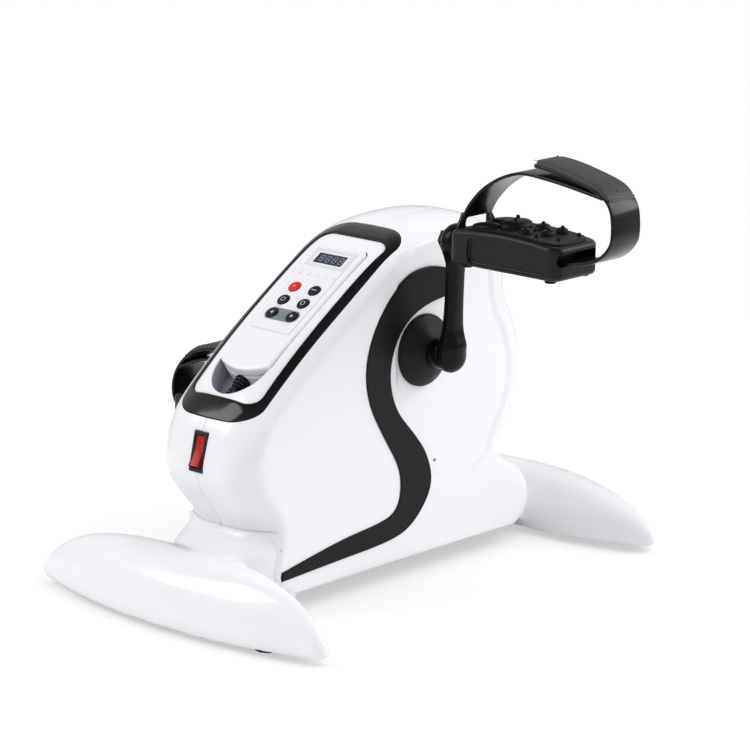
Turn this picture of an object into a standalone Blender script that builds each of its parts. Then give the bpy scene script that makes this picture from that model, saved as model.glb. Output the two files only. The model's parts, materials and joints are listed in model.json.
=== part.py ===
"""Under desk pedal exerciser, with a belt driven crank and a wired handset in its console.

Sizes are in millimetres here and become metres when a mesh is made. +Z is up, +X points away
from the console's lower end, and y = 0 is the body's mirror plane. The right side is at -Y.
"""
import math

import bmesh
import bpy
from mathutils import Matrix, Vector

MM = 0.001
GAP = 0.3

# The body's own frame, moved so that the origin is under the middle of the whole object
ORIGIN_SHIFT = (11.1, 18.2, 0.0)

# Console plane: a point on it and its slope
CONSOLE_X, CONSOLE_Z = -108.9, 213.9
CONSOLE_SLOPE = math.radians(33.14)

# Crank axis, crank length and resting lean towards -X
HUB_X, HUB_Z = -4.0, 178.0
CRANK_LENGTH = 90.0
CRANK_LEAN = math.radians(3.2)

# Body shells
WALL = 2.6
FLOOR_Z = 15.0
HALF_WIDTH = 48.0
# Ribs of the body, from the base's near corner over the console to its far corner: x and z at
# the side panel, x and z at the middle plane, half width, the share of the width that is flat,
# then roundness and edge exponent of the rest. An exponent of 1 leaves a crease at the panel.
BODY_RIBS = [
    (-148.0, 15.0, -148.0, 15.0, 48.0, 0.1, 4.0, 0.25),
    (-160.0, 31.0, -168.0, 31.0, 48.0, 0.1, 3.4, 0.3),
    (-156.0, 50.0, -172.0, 50.0, 48.0, 0.1, 2.6, 0.7),
    (-153.5, 67.0, -172.5, 67.0, 48.0, 0.1, 2.4, 1.0),
    (-159.0, 79.5, -179.5, 78.0, 47.5, 0.1, 2.6, 1.0),
    (-170.5, 94.0, -192.0, 93.0, 47.0, 0.1, 2.8, 1.0),
    (-180.5, 113.0, -199.5, 111.0, 46.5, 0.1, 3.2, 1.0),
    (-181.5, 128.0, -196.2, 127.0, 46.5, 0.1, 3.2, 1.0),
    (-174.5, 146.0, -190.7, 146.0, 46.5, 0.1, 2.8, 1.0),
    (-161.0, 160.0, -179.5, 162.0, 47.0, 0.1, 2.5, 1.0),
    (-143.5, 174.0, -157.0, 181.6, 47.5, 0.3, 2.0, 1.0),
    (-113.0, 197.0, -123.5, 204.3, 48.0, 0.6, 1.5, 1.0),
    (-52.0, 236.0, -58.5, 246.4, 48.0, 0.66, 1.4, 1.0),
    (-31.0, 250.0, -36.0, 258.6, 48.0, 0.6, 1.5, 0.9),
    (-8.0, 259.0, -8.5, 267.5, 48.0, 0.4, 1.8, 0.8),
    (20.0, 260.5, 20.0, 272.5, 48.0, 0.2, 2.0, 0.6),
    (58.0, 257.0, 60.0, 272.5, 48.0, 0.1, 2.2, 0.5),
    (79.0, 243.0, 91.0, 263.0, 48.0, 0.1, 2.3, 0.45),
    (83.0, 222.0, 102.0, 238.0, 48.0, 0.1, 2.4, 0.42),
    (86.5, 201.0, 104.0, 208.0, 48.0, 0.1, 2.5, 0.4),
    (102.0, 176.0, 118.0, 181.0, 48.0, 0.1, 2.5, 0.4),
    (109.0, 149.0, 127.0, 150.0, 48.0, 0.1, 2.5, 0.4),
    (105.0, 123.0, 120.0, 117.5, 48.0, 0.1, 2.6, 0.38),
    (93.0, 101.0, 103.2, 94.6, 48.0, 0.1, 2.8, 0.36),
    (84.0, 84.0, 92.0, 84.1, 48.0, 0.1, 3.0, 0.33),
    (94.0, 70.0, 98.3, 75.5, 48.0, 0.1, 3.2, 0.31),
    (113.0, 58.0, 119.6, 65.5, 48.0, 0.1, 3.0, 0.33),
    (124.0, 41.0, 135.6, 44.0, 48.0, 0.1, 3.0, 0.33),
    (122.0, 25.0, 129.1, 21.4, 48.0, 0.1, 3.4, 0.3),
    (113.0, 15.0, 113.0, 15.0, 48.0, 0.1, 4.0, 0.25),
]
RIB_STEPS = 2
CROSS_STEPS = 5
PANEL_MARGIN = 2.5
BODY_CENTRE = (-30.0, 140.0)

# Console ring, tray and handset, along and across the console plane
RING_FROM, RING_TO, RING_HALF, RING_BARREL = -101.0, 114.0, 40.6, 1.5
RING_CORNER = 22.0
TRAY_FROM, TRAY_TO, TRAY_HALF, TRAY_CORNER = -83.0, 95.0, 34.0, 12.0
HANDSET_FROM, HANDSET_TO, HANDSET_HALF = -49.5, 80.0, 25.0
HANDSET_BULGE, HANDSET_DEPTH = 8.3, 19.7
SCOOP_FROM, SCOOP_TO, SCOOP_HALF, POCKET_DEPTH = -50.0, -79.5, 24.3, 20.2
BUTTON_ROWS = (29.0, 14.5, 0.0)
BUTTON_SIDE, BUTTON_RADIUS, BUTTON_TOP = 10.0, 5.2, 1.5

# Feet: middle of each cover in x and how far its ends sweep back, then its reach towards the
# console side, its reach towards the back and its height, each with the two exponents of its taper
NEAR_FOOT = (-206.3, 8.0, (34.9, 2.01, 0.87), (37.0, 1.5, 1.5), (48.6, 4.2, 0.79))
FAR_FOOT = (181.0, 14.0, (43.9, 2.36, 0.78), (38.0, 1.97, 0.81), (39.5, 2.54, 0.65))
FOOT_HALF_LENGTH, FOOT_EDGE_Z = 145.4, 4.5
# The round end of a foot: the share of the length where it starts, its radius and its lift
TIP_FROM, TIP_RADIUS, TIP_LIFT = 0.92, 9.0, 8.0
NEAR_TUBE_X, FAR_TUBE_X, TUBE_RADIUS, TUBE_Z, TUBE_HALF = -212.0, 178.0, 9.0, 16.6, 96.0
PAD_RADIUS, PAD_Y = 10.0, 86.0

# Frame and drive
BEAM_HALF_Y, BEAM_BOTTOM, BEAM_TOP = 18.0, 17.6, 29.6
HOUSING_RADIUS, HOUSING_HALF = 22.0, 28.0
BEARING_RADIUS, BEARING_BORE, BEARING_WIDTH = 16.0, 7.3, 9.0
SHAFT_RADIUS, SHAFT_HALF = 7.0, 80.0
MOTOR_X, MOTOR_Z = -78.0, 112.0
PULLEY_RADIUS, MOTOR_PULLEY_RADIUS = 50.0, 11.0
PULLEY_Y, PULLEY_WIDTH, BELT_THICKNESS = 36.0, 10.0, 2.0

# Cranks and pedals, in the crank's own frame (z along the arm, y outwards)
CRANK_HUB_Y, CRANK_END_Y = 76.0, 83.0
CRANK_HUB_RADIUS, CRANK_HUB_THICK = 12.7, 17.0
CRANK_END_RADIUS, CRANK_END_THICK = 13.5, 16.0
SPINDLE_RADIUS = 5.3
PEDAL_INNER_Y, PEDAL_OUTER_Y = 98.0, 200.0
PEDAL_X_FROM, PEDAL_X_TO, PEDAL_Z_FROM, PEDAL_Z_TO = -29.0, 23.0, -9.5, 14.0
STRAP_X, STRAP_WIDTH, STRAP_THICK = -3.0, 32.0, 2.4
# Strap paths as (outwards, up) points from the spindle: the lower band, then the outer band
RIGHT_STRAP = ([(103.5, 8.3), (103.5, 18.0), (105.0, 25.0), (109.0, 32.5), (116.0, 41.0),
                (123.5, 48.0), (135.0, 55.5), (148.0, 61.0), (160.0, 63.5), (178.0, 62.5),
                (196.0, 60.5), (213.0, 58.0), (231.5, 55.0)],
               [(190.5, 2.8), (200.0, 3.0), (212.0, 4.8), (223.8, 8.0), (233.1, 13.7),
                (239.8, 22.0), (242.0, 33.0), (240.0, 45.0), (232.5, 55.2), (220.0, 61.8),
                (205.0, 65.9), (189.6, 69.3), (172.4, 71.9), (158.0, 72.0)])
LEFT_STRAP = ([(103.5, 8.3), (103.5, 18.0), (105.5, 25.0), (110.0, 33.0), (118.0, 41.5),
               (129.0, 46.5), (143.0, 49.0), (158.0, 48.5), (172.0, 46.0), (186.0, 41.5),
               (201.5, 34.5)],
              [(190.5, 2.8), (201.0, 2.8), (206.0, 7.5), (207.8, 15.5), (206.8, 24.0),
               (202.5, 33.5), (195.0, 42.5), (184.0, 50.0), (170.0, 54.5), (155.0, 57.0),
               (141.0, 58.0)])

SWITCH_X, SWITCH_Z, SWITCH_TILT = -195.6, 126.2, math.radians(12.5)
ROCKER_THROW = math.radians(20.0)
INLET_X, INLET_Z, INLET_TILT = 118.5, 121.0, math.radians(22.0)

WHITE = (0.86, 0.86, 0.9)
BLACK = (0.02, 0.02, 0.022)


def clear_scene():
    for obj in list(bpy.data.objects):
        bpy.data.objects.remove(obj, do_unlink=True)


def make_collection(name):
    collection = bpy.data.collections.new(name)
    bpy.context.scene.collection.children.link(collection)
    return collection


clear_scene()
PARTS = make_collection("under_desk_pedal_exerciser")
CUTTERS = make_collection("cutters")
MATERIALS = {}


def material(name, colour, roughness, metallic=0.0):
    mat = bpy.data.materials.new(name)
    mat.use_nodes = True
    shader = mat.node_tree.nodes["Principled BSDF"]
    shader.inputs["Base Color"].default_value = (*colour, 1.0)
    shader.inputs["Roughness"].default_value = roughness
    shader.inputs["Metallic"].default_value = metallic
    MATERIALS[name] = mat


def make_materials():
    material("white_gloss", WHITE, 0.15)
    material("white_satin", (0.82, 0.83, 0.87), 0.35)
    material("black_gloss", BLACK, 0.08)
    material("black_satin", (0.025, 0.025, 0.027), 0.45)
    material("black_rubber", (0.03, 0.03, 0.032), 0.7)
    material("red_gloss", (0.7, 0.01, 0.01), 0.2)
    material("steel", (0.6, 0.6, 0.62), 0.3, 1.0)
    material("frame_paint", (0.05, 0.05, 0.055), 0.5)
    material("board_green", (0.02, 0.2, 0.06), 0.5)
    material("window_dark", (0.02, 0.02, 0.04), 0.05)
    material("label_grey", (0.8, 0.83, 0.86), 0.4)


def add_object(name, mesh, mat=None, parent=None):
    """Put a mesh in the scene: a part where it has a material, or else a cutter."""
    obj = bpy.data.objects.new(name, mesh)
    if mat:
        mesh.materials.clear()
        mesh.materials.append(MATERIALS[mat])
        PARTS.objects.link(obj)
    else:
        CUTTERS.objects.link(obj)
        obj.hide_render = True
        obj.display_type = "WIRE"
    obj.parent = parent
    return obj


def mesh_from(bm, name, smooth_angle=35.0):
    bmesh.ops.recalc_face_normals(bm, faces=bm.faces)
    bmesh.ops.scale(bm, vec=Vector((MM, MM, MM)), verts=bm.verts)
    mesh = bpy.data.meshes.new(name)
    bm.to_mesh(mesh)
    bm.free()
    mesh.shade_smooth()
    mesh.set_sharp_from_angle(angle=math.radians(smooth_angle))
    return mesh


def empty(name, location, rotation=(0.0, 0.0, 0.0), parent=None):
    obj = bpy.data.objects.new(name, None)
    PARTS.objects.link(obj)
    obj.location = Vector(location) * MM
    obj.rotation_euler = rotation
    obj.parent = parent
    return obj


def box(name, low, high, mat=None, parent=None, bevel=0.0):
    bm = bmesh.new()
    bmesh.ops.create_cube(bm, size=1.0)
    size = Vector(high) - Vector(low)
    bmesh.ops.scale(bm, vec=size, verts=bm.verts)
    bmesh.ops.translate(bm, vec=(Vector(high) + Vector(low)) / 2, verts=bm.verts)
    obj = add_object(name, mesh_from(bm, name), mat, parent)
    if bevel:
        round_edges(obj, bevel)
    return obj


def round_edges(obj, width, segments=2):
    mod = obj.modifiers.new("round", "BEVEL")
    mod.width = width * MM
    mod.segments = segments
    mod.limit_method = "ANGLE"
    mod.angle_limit = math.radians(40)
    return mod


def cylinder_y(name, x, z, radius, y_from, y_to, mat=None, parent=None, sides=24, end_radius=None):
    """A cylinder or cone along Y, from y_from to y_to."""
    bm = bmesh.new()
    turn = Matrix.Rotation(math.radians(-90), 4, "X")
    place = Matrix.Translation((x, (y_from + y_to) / 2, z)) @ turn
    far_radius = radius if end_radius is None else end_radius
    bmesh.ops.create_cone(bm, cap_ends=True, segments=sides, radius1=radius, radius2=far_radius,
                          depth=y_to - y_from, matrix=place)
    return add_object(name, mesh_from(bm, name), mat, parent)


def turned_y(name, x, z, profile, mat, parent=None, steps=28, closed=True):
    """A ring turned about a Y axis through (x, z), from (radius, y) points.

    The profile is put in the order that runs down its outer side, so its faces point out.
    """
    area = sum(r * y_next - r_next * y
               for (r, y), (r_next, y_next) in zip(profile, profile[1:] + profile[:1]))
    if area > 0:
        profile = profile[::-1]
    bm = bmesh.new()
    points = [bm.verts.new(Vector((radius, 0.0, y)) * MM) for radius, y in profile]
    pairs = list(zip(points, points[1:]))
    if closed:
        pairs.append((points[-1], points[0]))
    for a, b in pairs:
        bm.edges.new((a, b))
    mesh = bpy.data.meshes.new(name)
    bm.to_mesh(mesh)
    bm.free()
    obj = add_object(name, mesh, mat, parent)
    obj.location = Vector((x, 0.0, z)) * MM
    obj.rotation_euler = (math.radians(-90), 0.0, 0.0)
    screw = obj.modifiers.new("turn", "SCREW")
    screw.steps = steps
    screw.render_steps = steps
    screw.use_merge_vertices = True
    screw.merge_threshold = 0.00005
    screw.use_smooth_shade = True
    return obj


def flat_outline(name, loops, half_depth, rotation, mat=None, parent=None, location=(0, 0, 0)):
    """An outline (with holes where a loop lies inside another) extruded both ways."""
    curve = bpy.data.curves.new(name, "CURVE")
    curve.dimensions = "2D"
    curve.fill_mode = "BOTH"
    curve.extrude = half_depth * MM
    for loop in loops:
        spline = curve.splines.new("POLY")
        spline.points.add(len(loop) - 1)
        for point, (a, b) in zip(spline.points, loop):
            point.co = (a * MM, b * MM, 0.0, 1.0)
        spline.use_cyclic_u = True
    holder = bpy.data.objects.new(name + "_curve", curve)
    CUTTERS.objects.link(holder)
    bpy.context.view_layer.update()
    graph = bpy.context.evaluated_depsgraph_get()
    mesh = bpy.data.meshes.new_from_object(holder.evaluated_get(graph))
    bpy.data.objects.remove(holder, do_unlink=True)
    bpy.data.curves.remove(curve)
    bm = bmesh.new()
    bm.from_mesh(mesh)
    bmesh.ops.remove_doubles(bm, verts=bm.verts, dist=1e-6)
    bmesh.ops.recalc_face_normals(bm, faces=bm.faces)
    bm.to_mesh(mesh)
    bm.free()
    mesh.name = name
    obj = add_object(name, mesh, mat, parent)
    obj.location = Vector(location) * MM
    obj.rotation_euler = rotation
    return obj


ALONG_Y = (math.radians(90), 0.0, 0.0)
ALONG_X = (math.radians(90), 0.0, math.radians(90))


def boolean(obj, other, operation):
    mod = obj.modifiers.new(operation.lower(), "BOOLEAN")
    mod.operation = operation
    mod.object = other
    mod.solver = "EXACT"


def cut(obj, *cutters):
    for cutter in cutters:
        boolean(obj, cutter, "DIFFERENCE")


def smooth_path(points, steps):
    """Catmull-Rom points through a list of tuples, with steps points a span."""
    path = []
    last = len(points) - 1
    for i in range(last):
        before, a, b, after = (points[max(i - 1, 0)], points[i], points[i + 1],
                               points[min(i + 2, last)])
        for k in range(steps):
            t = k / steps
            path.append(tuple(
                0.5 * (2 * q + (r - p) * t + (2 * p - 5 * q + 4 * r - s) * t * t
                       + (3 * q - p - 3 * r + s) * t ** 3)
                for p, q, r, s in zip(before, a, b, after)))
    path.append(points[last])
    return path


def rounded_rect(x_from, x_to, half, radius, barrel=0.0, end_bulge=0.0, steps=6):
    """Outline of a rounded rectangle with slightly bulging sides and ends."""
    centres = [(x_to - radius, half - radius, 0), (x_from + radius, half - radius, 90),
               (x_from + radius, radius - half, 180), (x_to - radius, radius - half, 270)]
    middle, reach = (x_from + x_to) / 2, (x_to - x_from) / 2
    outline = []
    for index, (cx, cy, start) in enumerate(centres):
        for k in range(steps + 1):
            angle = math.radians(start + 90 * k / steps)
            outline.append((cx + radius * math.cos(angle), cy + radius * math.sin(angle)))
        side = 1 if index % 2 == 0 else 0
        if side and barrel:
            edge = half if index == 0 else -half
            run = [0.6, 0.2, -0.2, -0.6]
            run = run if index == 0 else run[::-1]
            outline += [(middle + reach * f, edge) for f in run]
    shaped = []
    for x, y in outline:
        u = (x - middle) / reach
        v = y / half
        shaped.append((x - end_bulge * v * v * (1 if u > 0 else -1) * abs(u) ** 4,
                       y - barrel * u * u * (1 if y > 0 else -1)))
    return shaped


def moved_in(line, inset):
    """The points of an outline, moved inwards by inset. Its two ends move down instead."""
    last = len(line) - 1
    moved = []
    for i, (x, z) in enumerate(line):
        if i in (0, last):
            moved.append(Vector((x + (inset if i == 0 else -inset), FLOOR_Z - abs(inset))))
            continue
        along = Vector(line[i + 1]) - Vector(line[i - 1])
        normal = Vector((-along.y, along.x)).normalized()
        moved.append(Vector((x, z)) - normal * inset)
    return moved


def body_samples(inset):
    """Sampled ribs of the body: panel point, middle point, half width and roundness.

    Any inset lowers the floor, so that the inner form opens the shells from below.
    """
    ribs = smooth_path(BODY_RIBS, RIB_STEPS)
    edges = moved_in([rib[:2] for rib in ribs], inset)
    middles = moved_in([rib[2:4] for rib in ribs], inset)
    return [(edge, middle, rib[4] - inset, *rib[5:])
            for edge, middle, rib in zip(edges, middles, ribs)]


def body_columns(sample, across, full_half):
    """Points of one rib from the middle plane out to the side panel, for one side."""
    edge, middle, half, flat, power, exponent = sample
    column = [Vector((middle.x, 0.0, middle.y))]
    for k in range(CROSS_STEPS + 1):
        out = math.sin(math.radians(90) * k / CROSS_STEPS) ** (2 / max(power, 2.0)) if k else 0.0
        rise = max(1.0 - out ** power, 0.0) ** exponent if k < CROSS_STEPS else 0.0
        point = edge + (middle - edge) * rise
        column.append(Vector((point.x, across * half * (flat + (1.0 - flat) * out), point.y)))
    centre = Vector(BODY_CENTRE)
    inner = edge + (centre - edge).normalized() * PANEL_MARGIN
    floor = FLOOR_Z - abs(HALF_WIDTH - full_half)
    column.append(Vector((inner.x, across * full_half, max(inner.y, floor + PANEL_MARGIN))))
    return column


def body_solid(name, inset, sides, mat=None, seam=0.0, parent=None):
    """The body's closed outer form, moved inwards by inset: both sides, or one from the seam."""
    samples = body_samples(inset)
    full_half = HALF_WIDTH - inset
    bm = bmesh.new()
    grids = []
    for side in sides:
        rows = []
        for sample in samples:
            column = body_columns(sample, side, full_half)
            column[0].y = side * seam
            rows.append([bm.verts.new(point) for point in column])
        grids.append(rows)
        count = len(rows)
        for i in range(count):
            row, following = rows[i], rows[(i + 1) % count]
            for a, b, c, d in zip(row, following, following[1:], row[1:]):
                bm.faces.new((a, b, c, d))
        bm.faces.new([row[-1] for row in rows])
        if len(sides) == 1:
            bm.faces.new([row[0] for row in rows])
    bmesh.ops.remove_doubles(bm, verts=bm.verts, dist=1e-4)
    return add_object(name, mesh_from(bm, name), mat, parent)


def console_prism(name, loops, low, high, mat=None):
    """Outlines on the console plane, extruded along its normal from low to high."""
    middle = (low + high) / 2
    place = (-middle * math.sin(CONSOLE_SLOPE), 0.0, middle * math.cos(CONSOLE_SLOPE))
    return flat_outline(name, loops, (high - low) / 2, (0.0, -CONSOLE_SLOPE, 0.0), mat, None,
                        (CONSOLE_X + place[0], 0.0, CONSOLE_Z + place[2]))


def ring_outline(grow=0.0):
    return rounded_rect(RING_FROM - grow, RING_TO + grow, RING_HALF + grow, RING_CORNER,
                        RING_BARREL, 3.0)


def tray_outline(grow=0.0):
    return rounded_rect(TRAY_FROM - grow, TRAY_TO + grow, TRAY_HALF + grow, TRAY_CORNER)


def handset_outline(grow=0.0):
    """The handset's outline: a shallow arc at its lower end, round corners at its upper end."""
    half = HANDSET_HALF + grow
    arc = []
    for k in range(7):
        y = half - 2 * half * k / 6
        arc.append((HANDSET_FROM - grow - HANDSET_BULGE * (1 - (y / half) ** 2), y))
    corner = 8.0
    top = HANDSET_TO + grow
    ends = []
    for start, sign in ((-90, -1), (0, 1)):
        for k in range(5):
            angle = math.radians(start + 90 * k / 4)
            ends.append((top - corner + corner * math.cos(angle),
                         sign * (half - corner) + corner * math.sin(angle)))
    return arc + ends


def scoop_outline():
    """The finger scoop: half an ellipse, carried on a little under the handset's end."""
    arc = []
    for k in range(17):
        angle = math.radians(90 + 180 * k / 16)
        arc.append((SCOOP_FROM + (SCOOP_FROM - SCOOP_TO) * math.cos(angle),
                    SCOOP_HALF * math.sin(angle)))
    return arc + [(SCOOP_FROM + 8.0, -SCOOP_HALF), (SCOOP_FROM + 8.0, SCOOP_HALF)]


def switch_frame(parent):
    return empty("switch_frame", (SWITCH_X, 0.0, SWITCH_Z), (0.0, SWITCH_TILT, 0.0), parent)


def inlet_frame(parent):
    return empty("inlet_frame", (INLET_X, 0.0, INLET_Z), (0.0, INLET_TILT, 0.0), parent)


def add_shells():
    """The two body halves, with their openings."""
    core = body_solid("body_core", WALL, (-1, 1))
    opening = console_prism("console_opening", [ring_outline(GAP)], -30.0, 30.0)
    switch_hole = box("switch_opening", (-6.0, -6.2, -14.3), (24.0, 6.2, 14.3), None,
                      switch_frame(None))
    switch_seat = box("switch_seat", (-12.0, -6.9, -15.3), (1.0, 6.9, 15.3), None,
                      switch_frame(None))
    inlet_hole = box("inlet_opening", (-12.0, -14.4, -9.4), (30.0, 14.4, 9.4), None,
                     inlet_frame(None))
    inlet_seat = box("inlet_seat", (0.8, -19.3, -12.3), (30.0, 19.3, 12.3), None,
                     inlet_frame(None))
    beam_hole = box("beam_opening", (-190.0, -BEAM_HALF_Y - 1, FLOOR_Z - 5),
                    (160.0, BEAM_HALF_Y + 1, BEAM_TOP + 1))
    axle_hole = cylinder_y("axle_opening", HUB_X, HUB_Z, 12.0, -60.0, 60.0)
    for name, side in (("shell_right", -1), ("shell_left", 1)):
        shell = body_solid(name, 0.0, (side,), "white_gloss", GAP / 2)
        cut(shell, beam_hole, axle_hole, core, opening, switch_hole, switch_seat, inlet_hole,
            inlet_seat)
    box("base_plate", (-145.0, -44.6, FLOOR_Z), (108.0, 44.6, FLOOR_Z + 2.0), "frame_paint")


def add_console_trim():
    """The black ring and the white tray, which follow the console's arch."""
    ring = body_solid("console_ring", -0.4, (-1, 1), "black_gloss")
    outer = console_prism("ring_outer", [ring_outline()], -30.0, 30.0)
    boolean(ring, outer, "INTERSECT")
    inner = console_prism("ring_inner", [tray_outline()], -30.0, 30.0)
    below = body_solid("ring_below", 3.4, (-1, 1))
    cut(ring, inner, below)
    tray = body_solid("console_tray", 0.8, (-1, 1), "white_gloss")
    boolean(tray, console_prism("tray_outer", [tray_outline(-GAP)], -40.0, 30.0), "INTERSECT")
    lower = console_prism("tray_under", [[(s, y) for s, y in rounded_rect(-120, 130, 60, 5)]],
                          -80.0, -POCKET_DEPTH - 2.2)
    side_gap = [tray_outline(5.0), rounded_rect(SCOOP_TO - 2.2, HANDSET_TO + 2.6,
                                                HANDSET_HALF + 2.4, 6.0)]
    under = console_prism("tray_side", [side_gap[0], side_gap[1]], -60.0, -7.5)
    pocket = console_prism("handset_pocket", [handset_outline(0.5)], -POCKET_DEPTH, 20.0)
    scoop = console_prism("finger_scoop", [scoop_outline()], -POCKET_DEPTH - 0.4, 22.0)
    cord_hole = console_prism("cord_hole", [rounded_rect(-96.0, -75.0, 5.4, 2.0)], -18.7, -7.9)
    cut(tray, lower, under, pocket, scoop, cord_hole)


def add_handset(console):
    """The wired handset and everything on it, in the console's frame."""
    def slab(name, outline, low, high, mat=None, bevel=0.0, holes=()):
        obj = flat_outline(name, [outline, *holes], (high - low) / 2, (0.0, 0.0, 0.0), mat,
                           console if mat else None, (0.0, 0.0, (low + high) / 2))
        if not mat:
            obj.parent = console
        if bevel:
            round_edges(obj, bevel)
        return obj

    front = slab("handset_front", handset_outline(), -8.0, 0.0, "white_satin")
    back = slab("handset_back", handset_outline(), -HANDSET_DEPTH, -8.0 - GAP, "white_satin")
    front_room = slab("handset_front_room", rounded_rect(-46.0, 76.0, 22.5, 5.0), -20.0, -2.2)
    back_room = slab("handset_back_room", rounded_rect(-46.0, 76.0, 22.5, 5.0), -17.5, 4.0)
    window_hole = slab("window_opening", rounded_rect(56.6, 67.8, 14.4, 0.8, steps=1), -5.0, 5.0)
    cut(front, front_room, window_hole)
    cut(back, back_room)
    slab("display_window", rounded_rect(57.0, 67.4, 14.0, 0.5, steps=1), -2.0, 0.4, "window_dark")
    slab("display_module", rounded_rect(53.0, 71.0, 17.0, 1.0, steps=1), -5.6, -2.5, "black_satin")
    slab("handset_board", rounded_rect(-40.0, 74.0, 21.0, 2.0, steps=1), -7.6, -6.0, "board_green")
    label_holes = [button_circle(row, side, BUTTON_RADIUS + 0.4)
                   for row in BUTTON_ROWS for side in (-1, 1)]
    slab("keypad_label", rounded_rect(-17.0, 50.0, 20.0, 1.0, steps=1), GAP, 0.7, "label_grey",
         holes=label_holes)
    for index, row in enumerate(BUTTON_ROWS):
        for side in (-1, 1):
            hole = slab("button_hole_%d_%d" % (index, side),
                        button_circle(row, side, BUTTON_RADIUS + 0.4), -5.0, 5.0)
            cut(front, hole)
            name = "button_%d_%s" % (index + 1, "right" if side < 0 else "left")
            colour = "red_gloss" if (index, side) == (0, 1) else "black_satin"
            slab(name, button_circle(row, side, BUTTON_RADIUS), -4.6, BUTTON_TOP, colour)
    add_handset_cord(console)


def button_circle(row, side, radius, sides=16):
    return [(row + radius * math.cos(2 * math.pi * k / sides),
             side * BUTTON_SIDE + radius * math.sin(2 * math.pi * k / sides))
            for k in range(sides)]


CORD_DEPTH = -13.3
CORD_RADIUS = 4.4


def cone_along_x(name, x_from, x_to, radius_from, radius_to, mat, parent):
    bm = bmesh.new()
    place = (Matrix.Translation(((x_from + x_to) / 2, 0.0, CORD_DEPTH))
             @ Matrix.Rotation(math.radians(90), 4, "Y"))
    bmesh.ops.create_cone(bm, cap_ends=True, segments=16, radius1=radius_from, radius2=radius_to,
                          depth=x_to - x_from, matrix=place)
    return add_object(name, mesh_from(bm, name), mat, parent)


def add_handset_cord(console):
    """The ribbed relief on the handset's lower end and the curly cord's outer form."""
    end = HANDSET_FROM - HANDSET_BULGE - GAP
    cone_along_x("cord_relief", end - 8.0, end, 4.6, 6.2, "black_rubber", console)
    cone_along_x("curly_cord", end - 28.5, end - 8.0 - GAP, CORD_RADIUS, CORD_RADIUS,
                 "black_rubber", console)


def foot_reach(law, size, inset):
    """A foot's reach or height at a share of its length, which ends in a ball."""
    most, power, exponent = law
    value = (most - inset) * (1 - size ** power) ** exponent
    end = max(size - TIP_FROM, 0.0) / (1.0 - TIP_FROM)
    return (value ** 4 + (TIP_RADIUS - inset) ** 4) ** 0.25 * math.sqrt(1.0 - end ** 2)


def foot_solid(name, shape, inset, bottom, mat=None):
    """The wing-shaped foot cover's closed form, as sections along Y."""
    middle_x, sweep, outer_law, inner_law, height_law = shape
    length = FOOT_HALF_LENGTH - inset
    stations = [-0.99, -0.965, -0.92, -0.84, -0.72, -0.56, -0.36, -0.16]
    stations += [0.0] + [-s for s in reversed(stations)]
    bm = bmesh.new()
    sections = []
    for t in stations:
        size = abs(t)
        outer = foot_reach(outer_law, size, inset)
        inner = foot_reach(inner_law, size, inset)
        top = foot_reach(height_law, size, inset)
        centre = middle_x - sweep * size ** 2
        level = FOOT_EDGE_Z + TIP_LIFT * size ** 6
        end = max(size - TIP_FROM, 0.0) / (1.0 - TIP_FROM)
        low = level - (level - bottom) * math.sqrt(1.0 - end ** 2)
        narrow = 1.0 - 0.4 * size ** 6
        section = [bm.verts.new((centre - outer * narrow, t * length, low))]
        for k in range(9):
            angle = math.radians(180 * k / 8)
            across = -math.copysign(abs(math.cos(angle)) ** (2 / 2.3), math.cos(angle))
            rise = max(math.sin(angle), 0.0) ** (2 / 2.3)
            chord = outer if across < 0 else inner
            section.append(bm.verts.new((centre + chord * across, t * length,
                                         level + top * rise)))
        section.append(bm.verts.new((centre + inner * narrow, t * length, low)))
        sections.append(section)
    for one, other in zip(sections, sections[1:]):
        for k in range(len(one)):
            n = (k + 1) % len(one)
            bm.faces.new((one[k], other[k], other[n], one[n]))
    bm.faces.new(sections[0])
    bm.faces.new(sections[-1])
    return add_object(name, mesh_from(bm, name), mat)


def stacked(name, sections, mat=None):
    """A closed form through outlines with equal counts of points, each at its own height."""
    bm = bmesh.new()
    rows = [[bm.verts.new((x, y, z)) for x, y in outline] for outline, z in sections]
    for row, above in zip(rows, rows[1:]):
        for k in range(len(row)):
            n = (k + 1) % len(row)
            bm.faces.new((row[k], row[n], above[n], above[k]))
    bm.faces.new(rows[0])
    bm.faces.new(rows[-1])
    return add_object(name, mesh_from(bm, name), mat)


def collar_solid(name, end_x, side, half, flare):
    """The raised part of a foot cover round the body's end, flaring out below in a hollow curve.

    end_x is its outer end at the top, side the direction of that end, flare its rows of height,
    growth and corner radius.
    """
    inner = end_x - side * 98.0
    sections = []
    for z, grow, radius in flare:
        x_from, x_to = sorted((end_x + side * grow, inner))
        sections.append((rounded_rect(x_from, x_to, half, radius, end_bulge=3.0, steps=4), z))
    return stacked(name, sections)


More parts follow.
